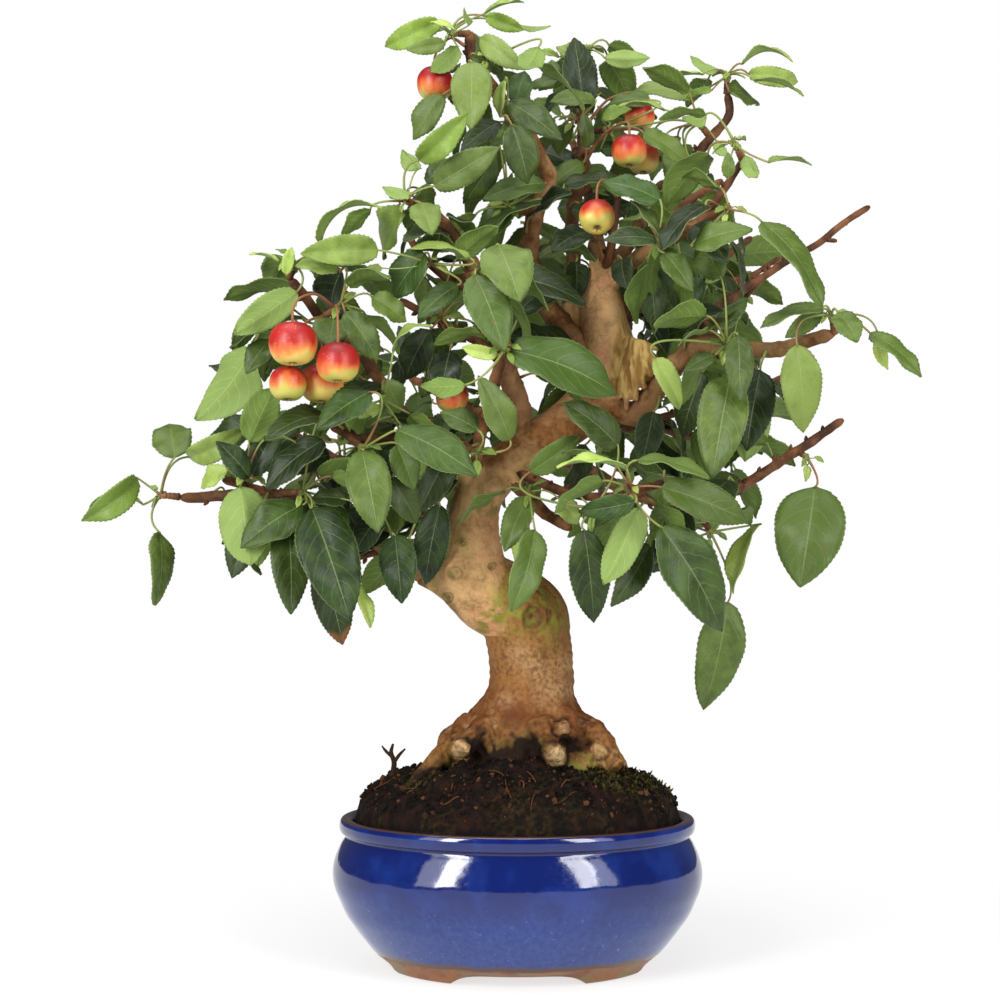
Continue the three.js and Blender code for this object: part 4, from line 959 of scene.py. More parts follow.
# The thick limb that rises beside it and turns to the right: column, row, depth, radius.
UPPER_TRUNK = (
    (534, 640, 4, 22), (526, 618, 3, 24), (509, 603, 0, 23), (488, 592, -6, 22.4), (473, 575, -9, 21),
    (470, 550, -9, 18.6), (472, 524, -8, 15.4), (479, 497, -6, 13.6), (499, 472, -2, 12.8),
    (535, 444, 4, 13.2), (574, 418, 10, 14), (602, 388, 12, 15), (610, 355, 12, 15), (604, 322, 12, 13.8),
    (600, 294, 12, 12.4), (603, 270, 12, 8.6),
)
BROKEN_BOUGH = (
    (606, 356, 10, 13), (628, 368, 2, 14), (645, 366, -4, 12.5), (655, 356, -6, 8),
)
# The torn wood that fans out from under the upper trunk: its top and the ends of its strands.
TORN_TOP = (629, 338, 0, 1.8)
TORN_ENDS = (
    (659, 350, -13, 1.2), (656, 363, -14, 1.6), (652, 376, -14, 1.9), (645, 389, -13, 2.1),
    (636, 401, -11, 2.2), (626, 411, -8, 2.0), (618, 400, -6, 1.8),
)
# Roots and their cut ends: column, row, depth, radius at each point.
ROOTS = (
    ((472, 718, -4, 10), (452, 745, -12, 9), (434, 766, -20, 7), (414, 792, -28, 4)),
    ((494, 722, -18, 9), (470, 742, -32, 8), (459, 752, -38, 6.5)),
    ((536, 716, -18, 10), (546, 742, -36, 8.5), (550, 753, -45, 7)),
    ((562, 708, -12, 8), (566, 733, -28, 6.5), (564, 742, -34, 5)),
    ((578, 716, -6, 9), (600, 744, -16, 7.5), (618, 768, -24, 5)),
    ((580, 722, 6, 10), (606, 752, 10, 8), (634, 790, 12, 4)),
    ((500, 722, 18, 10), (482, 758, 36, 7), (466, 792, 48, 4)),
    ((548, 722, 18, 10), (566, 758, 38, 7), (584, 792, 50, 4)),
)

# Marks on the front of the trunk: column, row and reach on the grid.
RING_SCARS = ((455, 573, 8), (448, 597, 7), (492, 566, 5), (440, 562, 4), (532, 617, 12), (462, 541, 4))
# A pale knob also says how pale it is.
PALE_KNOBS = ((461, 749, 9, 0.7), (554, 756, 11, 1.0), (564, 726, 7, 0.4), (597, 750, 8, 0.4))
PALE_PATCHES = ((566, 664, 12), (548, 690, 14), (520, 654, 12), (505, 700, 8), (566, 690, 8), (535, 668, 12))
MOSSY_PLACES = ((530, 590, 24), (548, 618, 22), (492, 505, 16), (512, 606, 20), (500, 758, 22),
                (530, 748, 14), (580, 768, 18), (450, 768, 14), (488, 622, 14))
RED_PATCH = (455, 612, 9)
SHADED_BOUGH = (411, 577, 17)
# Hollows between the roots, carved in and painted dark as shade: column, row and reach.
SHADED_HOLLOWS = ((504, 764, 24), (524, 752, 14), (576, 746, 9), (540, 772, 26), (480, 757, 12), (440, 775, 16))


@dataclass(frozen=True)
class BoughRow:
    """A bough or twig.

    Attributes:
        radii: the first and last radius, in mm.
        depths: the first and last depth, in mm.
        path: the column and row of each point.
    """

    radii: tuple[float, float]
    depths: tuple[float, float]
    path: tuple[tuple[float, float], ...]

    def knots(self) -> Array:
        """Place the points, with the depth and radius shared out by length along the path."""
        flat = np.array(self.path, dtype=float)
        steps = np.linalg.norm(np.diff(flat, axis=0), axis=1)
        part = np.concatenate([[0.0], np.cumsum(steps)]) / steps.sum()
        depth = self.depths[0] + (self.depths[1] - self.depths[0]) * part
        radius = self.radii[0] + (self.radii[1] - self.radii[0]) * part
        return np.column_stack([spot(flat[:, 0], flat[:, 1], depth), radius])


BOUGHS = (
    BoughRow((7, 3), (2, -48), ((510, 462), (519, 400), (505, 365), (500, 330), (488, 290), (475, 268),
        (460, 245), (442, 220), (425, 205))),
    BoughRow((7, 3), (14, -8), ((600, 385), (568, 335), (548, 305), (533, 281), (530, 240), (546, 170),
        (533, 144), (511, 116), (496, 90), (483, 75), (470, 52), (470, 32))),
    BoughRow((5, 2.5), (18, 42), ((569, 337), (572, 262), (575, 200), (583, 165), (583, 120), (586, 93),
        (587, 68))),
    BoughRow((3.5, 3.5), (12, 4), ((598, 290), (596, 270), (592, 240))),
    BoughRow((3, 2), (10, 4), ((605, 275), (613, 235), (618, 192))),
    BoughRow((5, 3), (8, -58), ((606, 284), (627, 265), (658, 246), (700, 222), (723, 212))),
    BoughRow((2.6, 1.8), (-48, -60), ((700, 222), (727, 185), (743, 160))),
    BoughRow((2.8, 2), (-22, -10), ((655, 248), (684, 205), (722, 180))),
    BoughRow((4.5, 2.4), (15, 58), ((604, 290), (630, 240), (658, 203), (670, 180), (690, 160), (715, 132),
        (730, 112), (727, 94))),
    BoughRow((4, 2), (14, 74), ((606, 334), (635, 290), (655, 262), (705, 265), (752, 238))),
    BoughRow((2.2, 1.5), (41, 70), ((655, 262), (700, 275), (740, 279), (780, 258))),
    BoughRow((2.6, 1.8), (-22, 30), ((694, 348), (706, 318), (745, 290), (785, 262), (815, 245), (845, 222),
        (870, 207))),
    BoughRow((1.6, 1.2), (19, 16), ((822, 239), (837, 241))),
    BoughRow((7, 3.5), (6, -52), ((606, 398), (628, 414), (660, 385), (680, 360), (700, 342), (730, 350),
        (780, 348), (835, 333))),
    BoughRow((2.4, 1.6), (12, 60), ((580, 426), (622, 428), (660, 418), (705, 407), (745, 392),
        (793, 372))),
    BoughRow((4, 2.6), (6, 44), ((545, 440), (570, 462), (600, 477), (650, 500), (700, 505), (740, 487),
        (780, 462), (843, 420))),
    BoughRow((2.6, 2.4), (26, 28), ((700, 505), (704, 521))),
    BoughRow((3.2, 2), (-2, -80), ((505, 470), (530, 478), (560, 490), (604, 497), (630, 494), (663, 482))),
    BoughRow((3.6, 3), (-8, -50), ((506, 474), (531, 501), (570, 530))),
    BoughRow((3.8, 3), (-8, -62), ((484, 494), (478, 458), (484, 423), (492, 389), (502, 357))),
    BoughRow((1.8, 1.4), (-24, -36), ((479, 455), (460, 441))),
    BoughRow((4.5, 2.5), (-8, -60), ((481, 492), (440, 450), (400, 410), (383, 386), (354, 343), (319, 317),
        (303, 294), (289, 278))),
    BoughRow((2.6, 2), (-17, -66), ((440, 450), (400, 437), (358, 438), (331, 428))),
    BoughRow((1.6, 1.2), (-58, -64), ((348, 435), (339, 418))),
    BoughRow((3, 2), (-16, -34), ((505, 365), (478, 342), (440, 322), (400, 300))),
    BoughRow((4, 2.5), (0, 22), ((455, 545), (420, 512), (385, 490), (347, 468), (320, 450), (290, 433),
        (262, 408), (237, 381))),
    BoughRow((1.8, 1.4), (12, 4), ((330, 457), (345, 458))),
    BoughRow((5.5, 4), (0, 2), ((452, 590), (412, 570), (385, 550), (355, 528), (330, 512))),
    BoughRow((3.2, 2.4), (1, -38), ((334, 514), (299, 500), (262, 490), (223, 480))),
    BoughRow((3.4, 3.2), (2, 6), ((330, 512), (256, 498), (180, 497))),
    BoughRow((2, 1.6), (2, -4), ((385, 550), (343, 562))),
    BoughRow((2.8, 2), (-30, -52), ((488, 290), (458, 285), (440, 272), (420, 255), (409, 235))),
    # boughs to the back
    BoughRow((6, 2.6), (14, 118), ((600, 378), (585, 345), (550, 310), (520, 285))),
    BoughRow((5.5, 2.6), (14, 112), ((606, 330), (630, 315), (665, 300), (700, 290))),
    BoughRow((4.5, 2.4), (14, 92), ((602, 290), (598, 240), (588, 195), (575, 150))),
    BoughRow((5, 2.4), (4, 112), ((530, 448), (500, 425), (455, 400), (415, 380))),
    BoughRow((4.5, 2.2), (-2, 92), ((478, 505), (450, 480), (410, 460), (370, 450))),
    BoughRow((5, 2.4), (12, 106), ((598, 398), (630, 415), (670, 430), (705, 440))),
)


@dataclass
class Rods:
    """Stretches of wood as rods with a radius at each end, to find and keep clear of."""

    start: Array
    end: Array
    start_radius: Array
    end_radius: Array

    @classmethod
    def along(cls, paths: Sequence[Array]) -> "Rods":
        """Cut paths of x, y, z and radius into rods."""
        ends = [np.concatenate([path[:-1], path[1:]], axis=1) for path in paths]
        table = np.concatenate(ends)
        return cls(table[:, :3], table[:, 4:7], table[:, 3], table[:, 7])

    def join(self, other: "Rods") -> "Rods":
        """Add the rods of another set."""
        pairs = zip(
            (self.start, self.end, self.start_radius, self.end_radius),
            (other.start, other.end, other.start_radius, other.end_radius),
        )
        return Rods(*(np.concatenate(pair) for pair in pairs))

    def nearest(self, points: Array) -> tuple[Array, Array, Array]:
        """Find each rod's nearest place to each point.

        Formula: the point's share along the rod, held between its ends.

        Args:
            points: one row each.

        Returns:
            The places, the radii there, and the distances, for points by rods.
        """
        span = self.end - self.start
        offset = points[:, None] - self.start
        part = np.einsum("pri,ri->pr", offset, span) / np.einsum("ri,ri->r", span, span)
        part = np.clip(part, 0.0, 1.0)
        place = self.start + part[..., None] * span
        radius = self.start_radius + (self.end_radius - self.start_radius) * part
        return place, radius, np.linalg.norm(points[:, None] - place, axis=-1)

    def foot(self, point: Array) -> tuple[Array, float, float]:
        """Find the wood nearest to one point: its place on the axis, radius and distance."""
        place, radius, distance = self.nearest(point[None])
        best = int(np.argmin(distance[0] - radius[0]))
        return place[0, best], float(radius[0, best]), float(distance[0, best])

    def some(self, which: Array) -> "Rods":
        """Pick rods out by a mask or by their numbers."""
        return Rods(*(part[which] for part in (self.start, self.end, self.start_radius, self.end_radius)))


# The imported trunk's slices and limb, which the spurs stand on.
PACKED_SLICES = (
    (792, 462, 590, 0, 30), (778, 440, 612, 0, 38), (764, 435, 614, 0, 38), (747, 441, 606, 0, 36),
    (731, 455, 596, 0, 32), (715, 468, 584, 0, 28), (695, 483, 574, 0, 25), (675, 490, 574, 1, 23.5),
    (658, 488, 573, 1, 24), (640, 477, 571, 1, 25), (624, 452, 568, 0, 26), (608, 440, 562, -2, 25),
    (594, 436, 553, -4, 23.5), (582, 435, 536, -6, 21.5), (570, 435, 510, -8, 19.5),
    (549, 440, 505, -8, 18), (525, 447, 498, -8, 15.5), (504, 452, 499, -7, 14),
)
PACKED_LIMB = (
    (474, 524, -8, 13.5), (479, 497, -6, 13.2), (499, 472, -2, 12.8), (535, 444, 4, 13.2),
    (574, 418, 10, 14), (602, 388, 12, 15), (610, 355, 12, 15), (604, 322, 12, 13.8),
    (600, 294, 12, 12.4), (603, 272, 12, 9),
)


def slices(rows: Sequence[Sequence[float]]) -> Array:
    """Place level slices of the trunk.

    Returns:
        For each slice x, y and z of its middle, its half width and its half depth.
    """
    row, left, right, depth, half_depth = np.array(rows, dtype=float).T
    wide = (right - left) / 2 * grid_step(depth)
    return np.column_stack([spot((left + right) / 2, row, depth), wide, half_depth])


def packed_wood() -> Rods:
    """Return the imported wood's rods: slices, limb, broken bough, roots and boughs."""
    lower = slices(PACKED_SLICES)
    thick = np.column_stack([lower[:, :3], lower[:, 3:].max(axis=1)])
    rows = (PACKED_LIMB, BROKEN_BOUGH, *ROOTS)
    return Rods.along([thick, *map(listed, rows), *(bough.knots() for bough in BOUGHS)])


@dataclass
class Trunk:
    """The trunk with its limb, roots and broken bough, grown together into one skin."""

    voxel: float = 1.0  # the size of the cells that the skin is drawn over, in mm
    slice_sides: int = 56
    flare_stations: int = 21
    flared: float = 3.4  # a thicker bough swells where it leaves the trunk

    def lower(self) -> Array:
        """Stack the lower trunk's level slices.

        Formula: an oval round each slice's middle, between the slices by the smooth curve.
        """
        x, y, z, wide, deep = (part[:, None] for part in smooth_curve(slices(LOWER_TRUNK), 2.0).T)
        angle = ring_angles(self.slice_sides)
        return joined(x + wide * np.cos(angle), y + deep * np.sin(angle), z)

    def core(self) -> bpy.types.Object:
        """Put every thick stretch of wood together, still as separate closed forms."""
        shell = Shell()
        shell.add_rings(self.lower())
        shell.add_rings(tube(listed(UPPER_TRUNK), 2.0, 40))
        shell.add_rings(tube(listed(BROKEN_BOUGH), 2.0, 40, 0.84))
        for i, end in enumerate(TORN_ENDS):
            rows = [TORN_TOP, end]
            for part in (0.7, 0.35):
                column, row = (a + part * (b - a) for a, b in zip(TORN_TOP[:2], end[:2]))
                rows.insert(1, (column, row, end[2] - 3.0 * math.sin(math.pi * part), 1.7 + 0.9 * part))
            shell.add_rings(tube(listed(rows), 1.0, 12, 1 - 0.12 * (i % 2)))
        for root in ROOTS:
            curve = smooth_curve(listed(root), 2.0)
            part = np.linspace(0, 1, len(curve))
            swell = (1.1 + 0.1 * np.sin(TAU * 1.3 * part)) * (0.45 + 0.55 * soft_step(part, 0.0, 0.4))
            shell.add_rings(sweep(curve[:, :3], curve[:, 3] * swell, 24))
        for bough in BOUGHS:
            if bough.radii[0] >= self.flared:
                curve = smooth_curve(bough.knots(), 1.0)[: self.flare_stations]
                flare = 1.02 + 0.55 * np.linspace(1, 0, len(curve)) ** 2
                shell.add_rings(sweep(curve[:, :3], curve[:, 3] * flare, 20))
        return shell.build("trunk_wood")

    def front(self, place: Array, column: float, row: float) -> Array:
        """Measure how far places are from a mark on the front, in grid columns, plus 60 at the back."""
        columns, rows = seen_at(place)
        return np.hypot(columns - column, rows - row) + 60.0 * soft_step(place[..., 1], -6.0, 4.0)

    def uneven(self, place: Array) -> Array:
        """Shift the places a little by noise, so that the marks on them aren't quite round."""
        return place + 1.1 * joined(*(lattice_noise(place, 5.0, seed) for seed in (67, 68, 69)))

    def spread(self, place: Array, marks: Sequence[tuple[float, float, float]]) -> Array:
        """Add up soft round marks on the trunk's front."""
        return sum(bell(self.front(place, column, row), reach) for column, row, reach in marks)

    def torn(self, place: Array) -> tuple[Array, Array]:
        """Measure how far along the broken bough the places are, and how far from its axis."""
        start = spot(*BROKEN_BOUGH[0][:3])
        way = unit(spot(655, 360, -6) - start)
        along = (place - start) @ way
        return along, np.linalg.norm(place - start - along[..., None] * way, axis=-1)

    def relief(self, place: Array) -> Array:
        """Work out how far the bark stands out at each point, in mm.

        Formula: layers of noise everywhere; upright fissures on the flared base; level wrinkles
        on the neck under the lobe; a raised ring round each scar with a pit in it; a bump for each
        pale knob; and fanned ridges on the broken bough.

        Args:
            place: points of the skin, in mm.

        Returns:
            The height at each.
        """
        z = place[..., 2]
        bark = 0.8 * rough_noise(place, 19.0, 41, 2) + 0.22 * rough_noise(place, 4.5, 44, 2)
        upright = place * (1.0, 1.0, 0.3)
        base = soft_step(z, row_height(668), row_height(726))
        fissures = np.clip(1 - np.abs(lattice_noise(upright, 5.5, 51)) * 2.2, 0, 1)
        ribs = 1.8 * lattice_noise(upright, 13.0, 52) + 0.9 * rough_noise(place, 3.4, 53, 2)
        bark += base * (ribs - 1.1 * fissures)
        bent = z + 2.2 * lattice_noise(place, 12.0, 55)
        bark += 0.22 * bell(z - row_height(668), 22.0) * np.sin(TAU * bent / 5.2)
        limb = soft_step(z, row_height(640), row_height(560))
        bark += 0.28 * limb * rough_noise(place * (0.25, 0.25, 1.0), 2.6, 57, 2)
        uneven = self.uneven(place)
        for column, row, reach in RING_SCARS:
            away = self.front(uneven, column, row) / reach
            ring = 0.9 * bell(away - 1.0, 0.26) - 1.3 * bell(away, 0.6) + 0.35 * bell(away - 1.8, 0.25)
            bark += 0.09 * reach * ring
        for column, row, reach, _ in PALE_KNOBS:
            away = self.front(uneven, column, row) / reach
            bark += 2.4 * bell(away, 1.0, 4) - 0.8 * bell(away - 1.45, 0.25)
        bark -= 1.6 * np.clip(self.spread(uneven, SHADED_HOLLOWS), 0, 1)
        along, aside = self.torn(place)
        return bark + soft_step(along, 8.0, 16.0) * (aside < 24) * 0.5 * lattice_noise(place, 2.6, 58)

    def marks(self, place: Array) -> dict[str, Array]:
        """Say where the bark is tan, red, mossy, pale, dark or dry, each from 0 to 1; pale and dark also hold
        painted highlights and shade.
        """
        y, z = place[..., 1], place[..., 2]
        patch = lattice_noise(place, 11.0, 61)
        uneven = self.uneven(place)
        column, row, reach = SHADED_BOUGH
        shaded = bell(self.front(uneven * (1, 0, 1) - (0, 10, 0), column, row), reach, 4)
        # Painted shade with redder bark: a band of the limb about row 432, under the leaves, turns from tan
        # to red-brown.
        bough = bell(z - row_height(432), 26.0) * (0.8 + 0.3 * patch)
        side = soft_step(place[..., 0], spot(512, 600, 0)[0] + 5, spot(496, 600, 0)[0] - 6)
        limb = np.maximum(soft_step(z, row_height(590), row_height(540)), side * (z > row_height(635)))
        moss = np.clip(self.spread(uneven, MOSSY_PLACES) * (0.95 + 0.5 * patch), 0, 1)
        behind = soft_step(y, 0.0, 12.0) * soft_step(patch, 0.1, 0.6)
        moss = np.maximum(moss, 0.8 * behind * soft_step(z, row_height(800), row_height(600)))
        red = 1.1 * bell(z - row_height(710), 17.0) * (0.85 + 0.4 * patch) + 0.5 * bough
        red += 0.5 * self.spread(uneven, [RED_PATCH])
        foot = soft_step(z, row_height(690), row_height(735))
        # Painted highlights and shade with pale flaking bark: noise lightens the root foot in spots and
        # darkens it between them.
        flakes_and_painted_light = rough_noise(place, 7.0, 62)
        pale = 0.3 * self.spread(uneven, PALE_PATCHES) + 0.45 * foot * soft_step(flakes_and_painted_light, 0.1, 0.5)
        dark = 0.6 * self.spread(uneven, [(column, row, 0.4 * reach) for column, row, reach in RING_SCARS])
        for column, row, reach in RING_SCARS:
            away = self.front(uneven, column, row) / reach
            dark += 0.5 * bell(away - 0.75, 0.22) + 0.12 * bell(away - 1.4, 0.16)
            moss = np.maximum(moss, 0.75 * bell(away, 1.1, 4))
        dark += 0.85 * self.spread(uneven, SHADED_HOLLOWS)
        for column, row, reach, light in PALE_KNOBS:
            away = self.front(uneven, column, row) / reach
            knob = bell(away, 1.0, 4)
            pale += light * knob
            rim = 0.35 * bell(away - 1.4, 0.3) + 0.2 * bell(away - 0.5, 0.12)
            dark = dark * (1 - 0.9 * knob) + light * rim
        # Painted shade between the foot's pale spots, and on the bough behind the lobe.
        dark += 0.4 * foot * soft_step(-flakes_and_painted_light, 0.12, 0.5) + 0.5 * shaded
        dark += 0.8 * soft_step(z, row_height(756), row_height(780))
        along, aside = self.torn(place)
        dry = soft_step(along, 6.0, 12.0) * (aside < 26) * soft_step(y, 8.0, 0.0)
        names = {"tan": limb * (1 - shaded) * (1 - 0.85 * bough), "red": red, "moss": moss, "pale": pale}
        return {name: np.clip(value, 0, 1) for name, value in {**names, "dark": dark, "dry": dry}.items()}

    def build(self, bark: bpy.types.Material) -> None:
        """Draw one skin over the core, raise its relief and dress it."""
        piece = self.core()
        cover = piece.modifiers.new("skin", "REMESH")
        cover.mode, cover.voxel_size, cover.use_smooth_shade = "VOXEL", self.voxel * METRE, True
        ease = piece.modifiers.new("ease", "SMOOTH")
        ease.factor, ease.iterations = 0.5, 6
        settle_modifiers(piece)
        points = piece.data.vertices
        place, normal = np.empty(len(points) * 3, np.float32), np.empty(len(points) * 3, np.float32)
        points.foreach_get("co", place)
        points.foreach_get("normal", normal)
        place = (place.reshape(-1, 3).astype(float) - HOME) / METRE
        relief = self.relief(place)
        moved = place + relief[:, None] * normal.reshape(-1, 3)
        points.foreach_set("co", home(moved).astype(np.float32).reshape(-1))
        piece.data.update()
        marks = self.marks(place)
        # Painted shade: where the bark sinks more than about a millimetre, in fissures, pits and hollows, it
        # is darkened.
        marks["dark"] = np.clip(marks["dark"] + soft_step(-relief, 1.1, 2.2) * 0.6, 0, 1)
        write_values(piece.data, marks)
        present(piece, bark, ["trunk"])


@dataclass
class Boughs:
    """The boughs, twigs and short spurs, each a ringed tube with buds along it."""

    pitch: float = 1.5
    node_gap: float = 13.0
    bud_wood: float = 3.6  # thicker wood bears no buds
    thick: float = 4.6
    thick_sides: int = 14
    twig_sides: int = 9

    def bough(self, shell: Shell, row: BoughRow, seed: int) -> None:
        """Sweep a bough.

        Formula: the radius swells a tenth at evenly spaced nodes and wanders with noise, and
        the last stations round off the end.

        Args:
            shell: the piece that holds the boughs.
            row: the bough.
            seed: its number, which changes the noise.
        """
        curve = smooth_curve(row.knots(), self.pitch)
        path, radius = curve[:, :3], curve[:, 3]
        marks = np.arange(len(path)) * self.pitch
        thin = soft_step(radius, self.thick, 2.2)
        bends = joined(*(lattice_noise(path + 40.0 * i, 15.0, seed + i) for i in range(3)))
        path = path + 0.25 * radius[:, None] * bends * soft_step(marks, 4.0, 20.0)[:, None]
        off_node = (marks + 3 * seed) % self.node_gap - self.node_gap / 2
        node = (0.13 - 0.06 * thin) * np.exp(-(off_node**2) / 2.2)
        end = np.sqrt(np.clip((marks[-1] + 0.8 - marks) / (1.6 * radius[-1]), 0.05, 1))
        sides = self.thick_sides if row.radii[0] > self.thick else self.twig_sides
        grid = sweep(path, radius * (1 + node) * end, sides)
        grid = grid + (grid - path[:, None]) * (0.13 * rough_noise(grid, 7.0, seed, 2))[..., None]
        thin = thin[:, None]
        patch = lattice_noise(grid, 9.0, 71)
        shell.add_rings(
            grid,
            tan=np.clip(0.55 + 0.4 * patch, 0, 1),
            young=np.clip(0.55 + 0.45 * thin + 0.25 * patch, 0, 1),
            red=np.clip(0.3 * thin + 0.3 * patch, 0, 1),
            moss=np.clip(0.25 * (1 - thin) + 0.3 * patch, 0, 1) * 0.6,
            dark=(0.25 * soft_step(marks, marks[-1] - 2.0, marks[-1]))[:, None],
        )
        self.buds(shell, path, radius, seed)

    def buds(self, shell: Shell, path: Array, radius: Array, seed: int) -> None:
        """Set pointed buds at even steps, turning round the bough.

        Args:
            shell: the piece that holds the boughs.
            path: the bough's stations.
            radius: its radius at each.
            seed: its number, which turns the first bud.
        """
        along, across, up = path_frames(path)
        step = max(1, int(self.node_gap / self.pitch))
        for i in range(step, len(path) - step, step):
            if radius[i] > self.bud_wood:
                continue
            angle = TAU * share(i + seed)
            out = math.cos(angle) * across[i] + math.sin(angle) * up[i]
            start = path[i] + 0.8 * radius[i] * out
            stations = start + np.outer([0.0, 1.0, 2.1, 3.2, 3.9], unit(out + 0.8 * along[i]))
            bud = sweep(stations, np.array([1.0, 1.35, 1.2, 0.7, 0.15]), 6)
            shell.add_rings(bud, young=1.0, red=0.4, dark=0.15)

    def spur(self, shell: Shell, spur: "Spur", seed: int) -> None:
        """Sweep a short spur: narrow rings crowd together on its outer part."""
        length = float(np.linalg.norm(spur.end - spur.foot))
        part = np.linspace(0, 1, max(8, int(length / 0.55)))
        path = spur.foot + part[:, None] * (spur.end - spur.foot)
        rings = 0.12 * np.abs(np.sin(TAU * part * length / 4.6))
        radius = (2.15 - 0.45 * part) * (1 + rings + 0.05 * lattice_noise(path, 3.0, seed))
        shell.add_rings(sweep(path, radius, 9), young=0.85, tan=0.4, dark=(1.1 * rings)[:, None])

    def build(self, bark: bpy.types.Material, spurs: Sequence["Spur"]) -> None:
        """Make every bough and spur and dress them as two pieces."""
        for name, make, rows in (("trunk_boughs", self.bough, BOUGHS), ("trunk_spurs", self.spur, spurs)):
            shell = Shell()
            for seed, row in enumerate(rows):
                make(shell, row, seed)
            present(shell.build(name), bark, ["trunk"])


# ---- sprays of leaves
class Form(Enum):
    """How a leaf is held, with the height of its bow as a share of its length."""

    FLAT = 0.09
    PALE = 0.07  # the underside looks at the viewer
    ARCHED = 0.24


PALE, ARCHED = Form.PALE, Form.ARCHED


@dataclass(frozen=True)
class SprayRow:
    """A spray on its spur.

    Attributes:
        name: the end of its node's name.
        spur: column, row and depth of the spur's end.
        leaves: for each leaf the column and row of its blade's base and of its tip, the width
            seen from the front in mm, its tone from 0, old and dark, to 1, and its form where
            it isn't flat.
    """

    name: str
    spur: tuple[float, float, float]
    leaves: tuple[tuple[float | Form, ...], ...]


